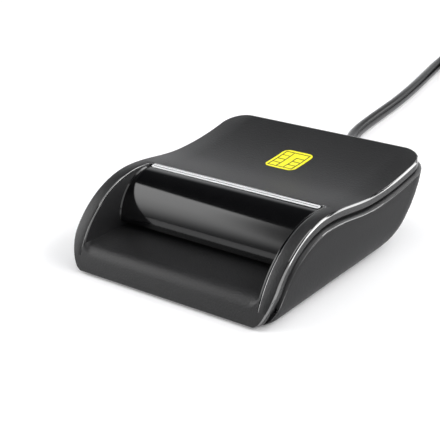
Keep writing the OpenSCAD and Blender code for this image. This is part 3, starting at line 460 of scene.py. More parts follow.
def moulded(name, low, high, rough, grain, depth, ior=1.5, patch=25.0, level=0.5):
    """A moulded plastic: two near shades in soft patches, and a grain of the tool's texture.

    patch is the patches' width, grain the texture's spacing and depth its height, all in
    millimetres, and level is the strength of its reflections."""
    made = surface(name)
    place = add(made, "ShaderNodeTexCoord")
    cloud = add(made, "ShaderNodeTexNoise", {"Scale": 1 / (patch * MM), "Detail": 3.0},
                {"Vector": (place, "Object")})
    pits = add(made, "ShaderNodeTexNoise",
               {"Scale": 1 / (grain * MM), "Detail": 2.0, "Roughness": 0.6},
               {"Vector": (place, "Object")})
    both = add(made, "ShaderNodeMix", {"data_type": "FLOAT", 0: 0.45},
               {2: (cloud, "Fac"), 3: (pits, "Fac")})
    shade = add(made, "ShaderNodeValToRGB", {"colours": (low, high)}, {"Fac": (both, 0)})
    shade.color_ramp.elements[0].position, shade.color_ramp.elements[1].position = 0.35, 0.65
    polish = add(made, "ShaderNodeMapRange", {"To Min": rough[0], "To Max": rough[1]},
                 {"Value": (both, 0)})
    relief = add(made, "ShaderNodeBump", {"Strength": 0.6, "Distance": depth * MM},
                 {"Height": (pits, "Fac")})
    return close(made, add(made, "ShaderNodeBsdfPrincipled",
                           {"IOR": ior, "Specular IOR Level": level},
                           {"Base Color": (shade, "Color"), "Roughness": (polish, "Result"),
                            "Normal": (relief, "Normal")}))


# Eroded ABS scatters the light to an even charcoal. Its pits lie about 0.1 mm apart and are drawn
# at 0.45 mm so that they show
lower_abs = moulded("spark_eroded_abs_lower", "#1a1a1b", "#232324", (0.42, 0.56), 0.45, 0.12,
                    level=0.22)
# A polished edge is near black with a thin bright line of the lamps along it
polished_edge = moulded("polished_abs_edge", "#0c0c0d", "#101011", (0.1, 0.14), 2.5, 0.002,
                        ior=1.9, level=1.0)
# The tool's parting face leaves the ledge satin, so it shows a broad soft gleam
satin_ledge = moulded("satin_abs_ledge", "#1d1d1e", "#262627", (0.3, 0.38), 2.5, 0.001)

tub = bmesh.new()
side_top = GROOVE + LEDGE_DEPTH + SOFT_EDGE
ring = first_ring(tub, hull_ring(0, 0, 0))
cap(tub, ring)
for share in RING_SHARES[1:]:
    ring = next_ring(tub, ring, hull_ring(share, 0, side_top))
for i in range(SOFT_EDGE_STEPS):
    angle = SOFT_EDGE_TURN * (i + 1) / SOFT_EDGE_STEPS
    ring = next_ring(tub, ring, hull_ring(1, SOFT_EDGE * (1 - math.cos(angle)),
                                          side_top - SOFT_EDGE * math.sin(angle)))
ring = next_ring(tub, ring, hull_ring(1, LEDGE_WIDTH, GROOVE))
ring = next_ring(tub, ring, hull_ring(1, GROOVE_BACK, GROOVE))
ring = next_ring(tub, ring, hull_ring(1, GROOVE_BACK, 0.02))
ring = next_ring(tub, ring, hollow_ring(REAR_HEIGHT, *HOLLOW_HIGH))
ring = next_ring(tub, ring, hollow_ring(STEP_HEIGHT, *HOLLOW_HIGH))
ring = next_ring(tub, ring, hollow_ring(STEP_HEIGHT, *HOLLOW_LOW))
low_half, low_rear, low_stern = HOLLOW_LOW
floor = round_plan(low_half, HOLLOW_FRONT, low_rear, HOLLOW_NOSE, low_stern)
ring = next_ring(tub, ring, [(x, y, FLOOR_HEIGHT) for x, y in floor])
cap(tub, ring)
bmesh.ops.remove_doubles(tub, verts=tub.verts, dist=HAIR / 2)
bmesh.ops.recalc_face_normals(tub, faces=tub.faces)

holes = bmesh.new()
for x, y in SCREW_PLACES:
    for radius, top in SCREW_DRILLS:
        rod(holes, (x, y, DRILL_START), radius, top - DRILL_START)
for x, y in FOOT_PLACES:
    rod(holes, (x, y, DRILL_START), FOOT_DRILL[0], FOOT_DRILL[1] - DRILL_START, sides=48)
rod(holes, *GLAND_DRILL, along="Y", sides=40)
tub = drill(tub, holes)

under = FLOOR_HEIGHT - FUSED
for x, y in SCREW_PLACES:
    rod(tub, (x, y, under), BOSS_SIZE[0], BOSS_SIZE[1] + FUSED)
for side in (-1, 1):
    for x, y, radius in BOARD_POSTS:
        rod(tub, (side * x, y, under), radius, BOARD_POST_HEIGHT + FUSED)
    for y in RIB_PLACES:
        brick(tub, (side * RIB_MIDDLE - RIB_HALF, y, under),
              (side * RIB_MIDDLE + RIB_HALF, y + RIB_LENGTH, RIB_TOP))
brick(tub, (-SADDLE_HALF, SADDLE_ENDS[0], under), (SADDLE_HALF, SADDLE_ENDS[1], SADDLE_TOP))

edge_line = side_top - SOFT_EDGE * math.sin(SOFT_EDGE_TURN) - 0.02
for face in tub.faces:
    middle = face.calc_center_median()
    sunk = parting(middle.y) - middle.z
    if middle.z > FOOT_HEIGHT + 1 and GROOVE - 0.1 < sunk < side_top:
        face.material_index = 1 if sunk > edge_line else 2
settle(tub, "lower_shell", [lower_abs, polished_edge, satin_ledge], "lower_abs", "housing",
       "bottom_shell")


# The rubber feet. Four discs of moulded thermoplastic rubber, glued into round pockets under the
# lower shell, so that the reader doesn't slide. Their shape is the model's own.
def finish_solids(finish, *names):
    """Gives the model's own solids their material."""
    for name in names:
        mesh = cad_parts[name].data
        mesh.materials.clear()
        mesh.materials.append(finish)


# Rubber is dull and near black, with only a faint sheen
foot_rubber = moulded("moulded_tpr_rubber", "#141414", "#1d1d1c", (0.7, 0.85), 0.5, 0.02)
finish_solids(foot_rubber, "rubber_feet")


# The circuit board. Glass fibre under a green mask, held on two posts of the lower shell by two
# screws. The controller chip, the clock crystal and ten small capacitors and resistors are
# soldered to its top.
METAL_SPECK = 0.4


def metal(name, low, high, rough, streak=1.0):
    """A plated metal: two near shades in fine specks or streaks, and a roughness that follows."""
    made = surface(name)
    place = add(made, "ShaderNodeTexCoord")
    drawn = add(made, "ShaderNodeMapping", {"Scale": (1.0, streak, 1.0)},
                {"Vector": (place, "Object")})
    speck = add(made, "ShaderNodeTexNoise", {"Scale": 1 / (METAL_SPECK * MM), "Detail": 3.0},
                {"Vector": (drawn, "Vector")})
    shade = add(made, "ShaderNodeValToRGB", {"colours": (low, high)}, {"Fac": (speck, "Fac")})
    polish = add(made, "ShaderNodeMapRange", {"To Min": rough[0], "To Max": rough[1]},
                 {"Value": (speck, "Fac")})
    return close(made, add(made, "ShaderNodeBsdfPrincipled", {"Metallic": 1.0},
                           {"Base Color": (shade, "Color"), "Roughness": (polish, "Result")}))


# Plated grain is a few hundredths of a millimetre wide and is drawn at 0.4 mm so that it shows.
# Zinc is a cool satin grey, nickel a warm and brighter one
zinc = metal("zinc_plated_steel", "#a9afb6", "#c6cbd0", (0.22, 0.38))
nickel = metal("nickel_plated_steel", "#b9b8b2", "#d3d2cb", (0.16, 0.3), streak=7.0)
# The mask is a smooth dark green lacquer, the chip's epoxy a dull black, the ceramic a dull tan
solder_mask = moulded("green_solder_mask", "#0d4a2a", "#126038", (0.25, 0.4), 1.2, 0.01,
                      patch=4.55)
epoxy = moulded("moulded_chip_epoxy", "#17171a", "#202024", (0.55, 0.7), 0.3, 0.01)
ceramic = moulded("fired_ceramic", "#8c7553", "#a88d66", (0.35, 0.5), 0.3, 0.006, patch=1.67)
finish_solids(solder_mask, "circuit_board")
finish_solids(zinc, "board_screws")
finish_solids(epoxy, "controller_chip")
finish_solids(nickel, "clock_crystal")
finish_solids(ceramic, "board_parts")


# The contact block. Glass-filled nylon with eight leaves of gold-plated bronze, each sprung on its
# own root, so that its crown can be pressed down into the block. Eight tails are soldered to the
# board.
# Glass fibres at its surface leave the nylon a dull charcoal
nylon_black = moulded("glass_filled_nylon", "#151516", "#202021", (0.45, 0.6), 0.35, 0.01)
# Gold plating keeps the leaves a clean satin yellow
gold = metal("gold_plated_bronze", "#c89f43", "#e3bd62", (0.2, 0.34), streak=5.0)
finish_solids(nylon_black, "contact_block")
finish_solids(gold, "contact_tails", *[f"contact_c{i}" for i in range(1, 9)])


# The guide behind the slot. One moulding of glass-filled nylon that lies on the lower shell's
# step, with a rail along each side and a stop across its rear.
finish_solids(nylon_black, "card_guide")


# The detecting switch. A small box of glass-filled nylon soldered to the board, with a sprung
# lever of white acetal that stands up at the rear of the slot.
# Acetal is whiter and smoother than nylon
acetal = moulded("white_acetal", "#d8d8d2", "#e6e6e1", (0.3, 0.42), 0.35, 0.005)
finish_solids(nylon_black, "detect_switch")
finish_solids(acetal, "detect_lever")


# What holds the cable. A header of natural nylon takes its four cores, a nylon clamp presses it
# onto the saddle, and a gland of soft elastomer sits in the rear wall and tapers off as a strain
# relief with slits across it.
# Natural nylon is a warm off-white, and the cores' insulation a plain red with a soft gloss
nylon_white = moulded("natural_nylon", "#d9d4c4", "#e6e2d6", (0.4, 0.55), 0.35, 0.006)
red_pvc = moulded("red_core_insulation", "#a01f1c", "#b62b26", (0.3, 0.42), 0.3, 0.005)
# The elastomer is a shade duller than the cable that leaves it
relief_tpe = moulded("soft_black_tpe", "#131314", "#1c1c1d", (0.5, 0.66), 0.35, 0.012)
finish_solids(nylon_white, "cable_header")
finish_solids(red_pvc, "cable_cores")
finish_solids(nylon_black, "cable_clamp")
finish_solids(relief_tpe, "cable_gland")


# The cable. One length of round cable, black PVC jacket over four cores, extruded with faint
# lengthwise drag marks. It leaves the strain relief, lies along the table and ends in a flat coil
# of two layers and a short tail.
ROUTE = [(0, 46, 6.5), (0, 50, 6.5), (-0.6, 54, 5.7), (-2, 58, 4.6), (-4.4, 62, 3.5),
         (-7.6, 66, 2.6), (-11.4, 70, 2.1), (-15.2, 74.4, 1.9), (-18.6, 79, 1.9),
         (-21.6, 84, 1.9), (-23.6, 90, 1.9), (-25, 97, 1.9), (-26.2, 105, 1.9),
         (-27.4, 114, 1.9), (-28.8, 124, 1.9), (-30.4, 133, 1.9), (-32.2, 142, 1.9),
         (-34.2, 151, 1.9), (-36.3, 160, 1.9), (-38.4, 169, 1.9), (-40, 177, 2),
         (-41, 184, 2.2), (-41, 190, 2.6), (-41, 194, 2.6)]
TAIL = [(17, 194, 6.85), (17, 190, 6.85), (17, 186, 6.2), (17, 182, 5.2), (17, 178, 4.4),
        (17, 174, 4.2), (17, 170, 4.2)]
COIL_MIDDLE = (-12, 198)
COIL_HEIGHT = 2.6
COIL_RADIUS = 29
COIL_PITCH = 4.3
COIL_TURNS = 7.5
CLIMB_FROM = 3.5  # turns wound before the cable climbs to the upper layer
CLIMB_TURNS = 0.5
CLIMB_HEIGHT = 4.25
STEPS_A_TURN = 24
CABLE_RADIUS = 1.9
JACKET_GRAIN = 2 / 3
JACKET_WEAR = 50 / 3  # width of the patches that are worn a little duller


def on_coil(turns):
    """A point of the coil: inwards on the table, a climb, then outwards on top."""
    angle = math.pi - 2 * math.pi * turns
    radius = COIL_RADIUS - COIL_PITCH * min(turns, COIL_TURNS - turns)
    share = min(1, max(0, (turns - CLIMB_FROM) / CLIMB_TURNS))
    height = COIL_HEIGHT + CLIMB_HEIGHT * (1 - math.cos(math.pi * share)) / 2
    return (COIL_MIDDLE[0] + radius * math.cos(angle),
            COIL_MIDDLE[1] + radius * math.sin(angle), height)


def cable_curve(name, points, radius):
    """A round tube on one smooth open spline through the points, in millimetres."""
    line = bpy.data.curves.new(name, "CURVE")
    line.dimensions = "3D"
    line.bevel_depth = radius * MM
    line.bevel_resolution = 5
    line.resolution_u = 4
    line.use_fill_caps = True
    spline = line.splines.new("BEZIER")
    spline.bezier_points.add(len(points) - 1)
    for knot, place in zip(spline.bezier_points, points):
        knot.co = Vector(place) * MM
        knot.handle_left_type = knot.handle_right_type = "AUTO"
    return put(name, line)


# Extruded PVC is near black with a soft gloss. Its drag marks are a tenth of a millimetre wide and
# are drawn as pits two thirds of a millimetre apart
jacket = surface("extruded_pvc_jacket")
jacket_place = add(jacket, "ShaderNodeTexCoord")
jacket_noise = add(jacket, "ShaderNodeTexNoise",
                   {"Scale": 1 / (JACKET_GRAIN * MM), "Detail": 3.0},
                   {"Vector": (jacket_place, "Object")})
jacket_wear = add(jacket, "ShaderNodeTexNoise",
                  {"Scale": 1 / (JACKET_WEAR * MM), "Detail": 2.0},
                  {"Vector": (jacket_place, "Object")})
jacket_shade = add(jacket, "ShaderNodeValToRGB", {"colours": ("#0c0c0d", "#131314")},
                   {"Fac": (jacket_wear, "Fac")})
jacket_rough = add(jacket, "ShaderNodeMapRange", {"To Min": 0.2, "To Max": 0.3},
                   {"Value": (jacket_wear, "Fac")})
jacket_bump = add(jacket, "ShaderNodeBump", {"Strength": 0.15, "Distance": 0.1 * MM},
                  {"Height": (jacket_noise, "Fac")})
jacket_shader = add(jacket, "ShaderNodeBsdfPrincipled", {"IOR": 1.52, "Specular IOR Level": 0.3},
                    {"Base Color": (jacket_shade, "Color"), "Roughness": (jacket_rough, "Result"),
                     "Normal": (jacket_bump, "Normal")})
close(jacket, jacket_shader)

coil_steps = round(COIL_TURNS * STEPS_A_TURN)
coil = [on_coil(COIL_TURNS * i / coil_steps) for i in range(coil_steps + 1)]
cable = cable_curve("cable", ROUTE + coil + TAIL, CABLE_RADIUS)
cable.data.materials.append(jacket)
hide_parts("cable_lead", "cable_coil", "cable_tail")
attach(cable, "housing")
finish_solids(jacket, "cable_inner")


# The coil's tie. A flat band of soft black elastomer that is wrapped round both layers of the
# coil and holds them together.
finish_solids(relief_tpe, "coil_tie")


# The plug. A grip of soft elastomer moulded over the cable's end and a nickel-plated steel shell,
# in which an acetal tongue carries four gold-plated blades.
finish_solids(relief_tpe, "plug_grip")
finish_solids(nickel, "plug_shell")
finish_solids(acetal, "plug_tongue")
finish_solids(gold, "plug_contacts")


# The upper shell. One moulding of matt black ABS: the waved top panel, a band down each cheek,
# and the front lip that rolls over into the tray before the slot. Its pieces are drawn flat and
# bent onto the side outline, and the posts for the case screws stand under them.
TOP_HALF = BODY_HALF - SIDE_STEP
TOP_REAR = BODY_REAR - SIDE_STEP
TOP_CORNER = 6.6
TOP_BEVEL = 0.42
TOP_SHADOW = 0.14  # a second bevel that softens the first one's edges
MOUTH_BACK = -6.3
MOUTH_CORNER = 1.2
MOUTH_FILLET = 0.42
TRAY_HEIGHT = 7.3
TRAY_THICKNESS = 1.8
TRAY_BACK = -13.6
LIP_BEND = 4.5
LIP_SWEEP = 3.2  # radius of the swept corner between lip and cheek
LIP_SWEEP_FADE = 0.7
LIP_SWEEP_TURNS = (3, 8, 14, 21, 30, 40, 50, 60, 70, 80, 90)
LIP_COLUMNS = [-16, -8, 0, 8, 16]
SHOULDER = 24  # beyond this half width the front is drawn in
ROW_STEP = 0.8
COLUMN_STEP = 8
LIP_STEP = 0.45
CASE_POST_RADIUS = 2.3
CASE_POST_FOOT = 3.3
nose_middle = CREST_HEIGHT - NOSE_BEND
lip_middle_z = TRAY_HEIGHT - LIP_BEND
lip_middle_y = CREST_Y - math.sqrt((NOSE_BEND - LIP_BEND) ** 2 - (lip_middle_z - nose_middle) ** 2)
lip_angle = math.atan2(lip_middle_z - nose_middle, lip_middle_y - CREST_Y)
lip_run = CREST_Y - NOSE_BEND * (lip_angle - math.pi / 2)
foot_run = CREST_Y - NOSE_BEND * (math.pi / 2 - math.asin((FOOT_HEIGHT - nose_middle) / NOSE_BEND))
roll_length = LIP_BEND * (lip_angle - math.pi / 2)
tray_run = lip_run + roll_length + TRAY_BACK - lip_middle_y


def nose_half(y):
    """Half the upper shell's width at y, drawn in round the two front corners."""
    past = BODY_FRONT + CORNER_NOSE - y
    if past <= 0:
        return TOP_HALF
    return TOP_HALF - CORNER_NOSE + math.sqrt(max(0.0, CORNER_NOSE ** 2 - past ** 2))


def bend_band(x, run, lift):
    """Bends a flat point onto the body's side outline: run is its length along the outline."""
    if run < CREST_Y:
        angle = (CREST_Y - run) / NOSE_BEND
        y = CREST_Y - (NOSE_BEND + lift) * math.sin(angle)
        z = nose_middle + (NOSE_BEND + lift) * math.cos(angle)
        level = CREST_Y - NOSE_BEND * math.sin(angle)
    else:
        y, z, level = run, outline(run, -lift), run
    half = nose_half(level)
    knee = MOUTH_HALF
    if run < lip_run:
        lip_half = nose_half(CREST_Y - NOSE_BEND * math.sin((CREST_Y - lip_run) / NOSE_BEND))
        knee = SHOULDER + (half - SHOULDER) * (MOUTH_HALF - SHOULDER) / (lip_half - SHOULDER)
    width = abs(x)
    if width > MOUTH_HALF:
        width = knee + (width - MOUTH_HALF) * (half - knee) / (TOP_HALF - MOUTH_HALF)
    elif width > SHOULDER:
        width = SHOULDER + (width - SHOULDER) * (knee - SHOULDER) / (MOUTH_HALF - SHOULDER)
    return (math.copysign(width, x), y, z)


def bend_tray(x, run, lift):
    """Bends a flat point over the lip and onto the tray, with a swept corner at each cheek."""
    past = run - lip_run
    if past <= HAIR:
        return bend_band(x, min(run, lip_run - HAIR / 10), lift)
    if past < roll_length:
        angle = lip_angle - past / LIP_BEND
        middle = (lip_middle_y, lip_middle_z)
        way = (math.cos(angle), math.sin(angle))
        reach = LIP_BEND
        sweep = LIP_SWEEP * (1 - past / roll_length) ** LIP_SWEEP_FADE
    else:
        middle = (lip_middle_y + past - roll_length, 0)
        way = (0, 1)
        reach = TRAY_HEIGHT
        sweep = 0
    near = max(0.0, MOUTH_HALF - abs(x))
    if near < sweep:
        grown = sweep - math.sqrt(sweep * sweep - (sweep - near) ** 2)
        y0, z0 = middle[0] + way[0] * reach - CREST_Y, middle[1] + way[1] * reach - nose_middle
        along = y0 * way[0] + z0 * way[1]
        room = -along + math.sqrt(along * along + NOSE_BEND ** 2 - y0 * y0 - z0 * z0)
        reach += min(grown, max(0.0, room))
    return (x, middle[0] + way[0] * (reach + lift), middle[1] + way[1] * (reach + lift))


def move_new(bm, grown, way):
    """Moves the points that an extrusion has just made."""
    bmesh.ops.translate(bm, verts=[g for g in grown if isinstance(g, bmesh.types.BMVert)], vec=way)


def join(bm, other, name):
    """Adds a second mesh to the first and frees it."""
    spare = bpy.data.meshes.new(name)
    other.to_mesh(spare)
    other.free()
    bm.from_mesh(spare)
    bpy.data.meshes.remove(spare)


def flat_plate(corners, rounded, thickness):
    """A flat plate whose top is at zero: its corners in order, the rounded ones by their radius."""
    bm = bmesh.new()
    bm.faces.new([bm.verts.new((x, y, 0)) for x, y in corners])
    for place, radius in rounded:
        corner = min(bm.verts, key=lambda v: (v.co - Vector((*place, 0))).length)
        bmesh.ops.bevel(bm, geom=[corner], offset=radius, offset_type="OFFSET", segments=14,
                        profile=0.5, affect="VERTICES", material=-1)
    lower = bmesh.ops.extrude_face_region(bm, geom=bm.faces[:], use_keep_orig=True)["geom"]
    move_new(bm, lower, (0, 0, -thickness))
    bmesh.ops.recalc_face_normals(bm, faces=bm.faces)
    return bm


def soften(bm, chosen, radius, segments):
    """Rounds the edges for which chosen(middle of the edge, edge) holds."""
    edges = [e for e in bm.edges if chosen((e.verts[0].co + e.verts[1].co) / 2, e)]
    bmesh.ops.bevel(bm, geom=edges, offset=radius, offset_type="OFFSET", segments=segments,
                    profile=0.5, affect="EDGES", clamp_overlap=True, material=-1)


def on_top(middle):
    """Whether a point lies on a flat plate's top face."""
    return abs(middle.z) < 1e-6


def at_mouth(middle):
    """Whether a point lies along the mouth in the flat top panel."""
    return abs(middle.x) < MOUTH_HALF + 0.01 and middle.y < MOUTH_BACK + 0.01


def slanted(edge):
    """Whether the faces of an edge meet as a bevel meets its neighbours."""
    return 0.5 < edge.calc_face_angle(0) < 1


def polish_edges(bm, chosen):
    """Gives the chosen bevels and side walls of a flat plate their own materials."""
    bm.normal_update()
    for face in bm.faces:
        if -0.1 < face.normal.z < 0.99 and chosen(face.calc_center_median()):
            face.material_index = 1 if face.normal.z > 0.1 else 2


def rows(bm, places, axis):
    """Cuts a mesh into strips at the places along an axis, 0 for x and 1 for y."""
    for place in places:
        bmesh.ops.bisect_plane(bm, geom=bm.verts[:] + bm.edges[:] + bm.faces[:], dist=1e-5,
                               plane_co=[place if i == axis else 0 for i in range(3)],
                               plane_no=[1.0 if i == axis else 0.0 for i in range(3)])


def spread(start, end, step):
    """Places between two ends, a step apart or less, without the ends."""
    count = math.ceil(abs(end - start) / step)
    return [start + (end - start) * i / count for i in range(1, count)]


# The same erosion as on the lower shell, with a little more sheen from the lamps above it. Its
# shades are a little darker than the lower shell's copy: painted shade that holds down the top
# panel, which the lamps light more
upper_abs = moulded("spark_eroded_abs_upper_painted_shade", "#151516", "#1e1e1f", (0.38, 0.48), 0.45, 0.12,
                    level=0.42)
# The side faces come from the parting of the tool and are satin
satin_side = moulded("satin_abs_side", "#1a1a1b", "#222223", (0.22, 0.3), 0.8, 0.004)

hood = flat_plate([(-TOP_HALF, lip_run), (-MOUTH_HALF, lip_run), (-MOUTH_HALF, MOUTH_BACK),
                   (MOUTH_HALF, MOUTH_BACK), (MOUTH_HALF, lip_run), (TOP_HALF, lip_run),
                   (TOP_HALF, TOP_REAR), (-TOP_HALF, TOP_REAR)],
                  [((TOP_HALF, TOP_REAR), TOP_CORNER), ((-TOP_HALF, TOP_REAR), TOP_CORNER),
                   ((MOUTH_HALF, MOUTH_BACK), MOUTH_CORNER),
                   ((-MOUTH_HALF, MOUTH_BACK), MOUTH_CORNER)],
                  TOP_THICKNESS)
behind_lip = lip_run + 0.01
soften(hood, lambda m, e: on_top(m) and m.y > behind_lip and not at_mouth(m), TOP_BEVEL, 1)
soften(hood, lambda m, e: on_top(m) and m.y > behind_lip and slanted(e), TOP_SHADOW, 1)
soften(hood, lambda m, e: on_top(m) and m.y > behind_lip and at_mouth(m)
       and e.calc_face_angle(0) > 1, MOUTH_FILLET, 3)
polish_edges(hood, lambda m: True)
rows(hood, spread(lip_run, TOP_REAR, ROW_STEP), 1)
rows(hood, spread(-TOP_HALF, TOP_HALF, COLUMN_STEP), 0)
for v in hood.verts:
    v.co = bend_band(*v.co)

lip = flat_plate([(-TOP_HALF, foot_run), (TOP_HALF, foot_run), (TOP_HALF, lip_run),
                  (MOUTH_HALF, lip_run), (MOUTH_HALF, tray_run), (-MOUTH_HALF, tray_run),
                  (-MOUTH_HALF, lip_run), (-TOP_HALF, lip_run)], [], TRAY_THICKNESS)
soften(lip, lambda m, e: on_top(m) and abs(abs(m.x) - TOP_HALF) < 0.01, TOP_BEVEL, 1)
soften(lip, lambda m, e: on_top(m) and slanted(e), TOP_SHADOW, 1)
polish_edges(lip, lambda m: abs(m.x) > MOUTH_HALF)
rows(lip, spread(foot_run, lip_run, ROW_STEP) + [lip_run]
     + spread(lip_run, lip_run + roll_length, LIP_STEP) + [lip_run + roll_length], 1)
sweeps = [LIP_SWEEP * (1 - math.cos(math.radians(turned))) for turned in LIP_SWEEP_TURNS]
rows(lip, [side * (MOUTH_HALF - sweep) for side in (-1, 1) for sweep in sweeps] + LIP_COLUMNS, 0)
for v in lip.verts:
    v.co = bend_tray(*v.co)
join(hood, lip, "lip")

for x, y in SCREW_PLACES:
    top = TRAY_HEIGHT - TRAY_THICKNESS / 2 if y < 0 else outline(y, TOP_THICKNESS / 2)
    rod(hood, (x, y, CASE_POST_FOOT), CASE_POST_RADIUS, top - CASE_POST_FOOT)
settle(hood, "upper_shell", [upper_abs, polished_edge, satin_side], "upper_abs", "housing",
       "top_shell")


# The case screws. Four self-tapping screws of zinc-plated steel, driven from below through the
# lower shell into the posts of the upper shell.
finish_solids(zinc, "case_screws")


# The glossy insert. Black ABS from a polished tool, snapped in round the mouth: the rounded brow
# over the slot, a sloped rim behind it, and a lining inside each cheek with a bright edge.
BROW_BEND = 11.2
BROW_Y = -8.8
BROW_THICKNESS = 1.4
BROW_STEPS = 40
BROW_BLEND = 0.35  # fillet between the brow and each lining
BROW_GROOVE = [(0.55, -0.02), (0.7, -0.16), (0.82, -0.04), (0.95, 0.05)]  # behind the brow's top
RIM_CURVE = 0.06  # bulge of the sloped rim
RIM_FRONT = 0.95
RIM_END = [(0.2, 0), (0.06, -0.03), (0.02, -0.35)]  # the rim's edge before the top panel
SLOT_TOP = 8.9
LINER = 0.5
LINER_GAP = 0.02
LINER_SINK = 0.1  # the linings' edges lie below the cheeks' bands
LINER_STEPS = 40
LINER_EDGE = 0.22
GUIDE_FRONT = -13.5  # the linings leave room for the guide
GUIDE_TOP = 9.9

# Polished ABS is the blackest piece and mirrors the lamps and the table
polished = moulded("polished_black_abs", "#060607", "#0a0a0b", (0.07, 0.13), 3.0, 0.002,
                   patch=40.0)
# The linings' flat faces are left satin, so they don't mirror the tray
satin_lining = moulded("satin_abs_lining", "#1a1a1b", "#242425", (0.3, 0.4), 0.45, 0.01)

brow_half = MOUTH_HALF - LINER + 0.05
brow_top = SLOT_TOP + BROW_BEND
rim_top = outline(MOUTH_BACK, 0.05)
brow = bmesh.new()
start = brow.verts.new((-brow_half, BROW_Y - BROW_BEND, SLOT_TOP))
bmesh.ops.spin(brow, geom=[start], cent=(0, BROW_Y, SLOT_TOP), axis=(-1, 0, 0),
               angle=math.radians(90), steps=BROW_STEPS, use_merge=False)
chain_end = max(brow.verts, key=lambda v: v.co.y)
profile = [(BROW_Y + back, brow_top + rise) for back, rise in BROW_GROOVE]
profile.append((MOUTH_BACK - RIM_FRONT, (brow_top + rim_top) / 2 + RIM_CURVE))
profile += [(MOUTH_BACK - fore, rim_top + rise) for fore, rise in RIM_END]
for place in profile:
    chain_end = bmesh.ops.extrude_vert_indiv(brow, verts=[chain_end])["verts"][0]
    chain_end.co = (-brow_half, *place)
sheet = bmesh.ops.extrude_edge_only(brow, edges=brow.edges[:])["geom"]
move_new(brow, sheet, (2 * brow_half, 0, 0))
bmesh.ops.recalc_face_normals(brow, faces=brow.faces)
if sum(f.normal.z for f in brow.faces) < 0:
    bmesh.ops.reverse_faces(brow, faces=brow.faces)
bmesh.ops.solidify(brow, geom=brow.faces[:], thickness=BROW_THICKNESS)
bmesh.ops.recalc_face_normals(brow, faces=brow.faces)

liner_front = CREST_Y - math.sqrt((NOSE_BEND - LINER_SINK) ** 2 - (TRAY_HEIGHT - nose_middle) ** 2)
liner_run = MOUTH_BACK - liner_front
liner_edge = [liner_front + liner_run * (1 - math.cos(math.pi / 2 * i / LINER_STEPS))
              for i in range(LINER_STEPS + 1)]
liner_loop = [(y, max(outline(y, LINER_SINK), TRAY_HEIGHT)) for y in liner_edge]
liner_loop += [(MOUTH_BACK, GUIDE_TOP + 0.1), (GUIDE_FRONT - 0.1, GUIDE_TOP + 0.1),
               (GUIDE_FRONT - 0.1, TRAY_HEIGHT)]
for side in (-1, 1):
    wedge = [brow.verts.new((side * x, BROW_Y - radius, SLOT_TOP)) for x, radius in
             [(brow_half, BROW_BEND), (brow_half - BROW_BLEND, BROW_BEND),
              (brow_half, BROW_BEND + BROW_BLEND)]]
    bmesh.ops.spin(brow, geom=[brow.faces.new(wedge)], cent=(0, BROW_Y, SLOT_TOP),
                   axis=(-1, 0, 0), angle=math.radians(90), steps=BROW_STEPS, use_merge=False)
    lining = bmesh.new()
    outer = side * (MOUTH_HALF - LINER_GAP)
    lining.faces.new([lining.verts.new((outer, y, z)) for y, z in liner_loop])
    inner = bmesh.ops.extrude_face_region(lining, geom=lining.faces[:], use_keep_orig=True)["geom"]
    move_new(lining, inner, (-side * (LINER - LINER_GAP), 0, 0))
    bmesh.ops.recalc_face_normals(lining, faces=lining.faces)
    soften(lining, lambda m, e: abs(abs(m.x) - MOUTH_HALF + LINER) < 0.01
           and m.z > TRAY_HEIGHT + 0.01 and abs(e.verts[0].co.x - e.verts[1].co.x) < 1e-6
           and m.z > outline(m.y, LINER_SINK + 0.02), LINER_EDGE, 3)
    for face in lining.faces:
        face.material_index = 1 if abs(face.normal.x) > 0.99 else 0
    join(brow, lining, "lining")
settle(brow, "card_mouth_insert", [polished, satin_lining], "gloss_abs", "housing", "slot_bezel")


# The bright strip. A thin plastic strip glued into a shallow seat in the rim over the mouth. Its
# face is a pale satin grey foil, a painted highlight that stands for the lamps' bright line along
# the polished rim. It has round ends and a fine groove along its middle.
STRIP_HALF = 26.5
STRIP_WIDTH = 1.3
STRIP_PLACE = (0, -7.2, 20.36)
STRIP_SLOPE = 15.5
STRIP_RINGS = [(0, -0.3), (0, 0.02), (0.1, 0.1), (0.5, 0.1), (0.57, 0.02)]  # inset and height
FOIL_STREAK = (40, 0.25, 0.25)  # length and width of the brushed lines

# The foil's pale satin grey is a painted highlight that stays bright under any lamp, brushed along
# the strip. Its lines are under 0.05 mm wide and are drawn at 0.25 mm
painted_highlight_foil = surface("pale_foil_painted_highlight")
foil_place = add(painted_highlight_foil, "ShaderNodeTexCoord")
foil_long = add(painted_highlight_foil, "ShaderNodeMapping", {"Scale": [1 / (s * MM) for s in FOIL_STREAK]},
                {"Vector": (foil_place, "Object")})
foil_brush = add(painted_highlight_foil, "ShaderNodeTexNoise", {"Scale": 1.0, "Detail": 3.0},
                 {"Vector": (foil_long, "Vector")})
# These two pale shades are the painted highlight of the rim
painted_highlight_shade = add(painted_highlight_foil, "ShaderNodeValToRGB", {"colours": ("#dedfe1", "#f0f1f2")},
                 {"Fac": (foil_brush, "Fac")})
foil_rough = add(painted_highlight_foil, "ShaderNodeMapRange", {"To Min": 0.3, "To Max": 0.42},
                 {"Value": (foil_brush, "Fac")})
foil_relief = add(painted_highlight_foil, "ShaderNodeBump", {"Strength": 0.3, "Distance": 0.01 * MM},
                  {"Height": (foil_brush, "Fac")})
foil = add(painted_highlight_foil, "ShaderNodeBsdfPrincipled", {"Metallic": 0.15},
           {"Base Color": (painted_highlight_shade, "Color"), "Roughness": (foil_rough, "Result"),
            "Normal": (foil_relief, "Normal")})
close(painted_highlight_foil, foil)

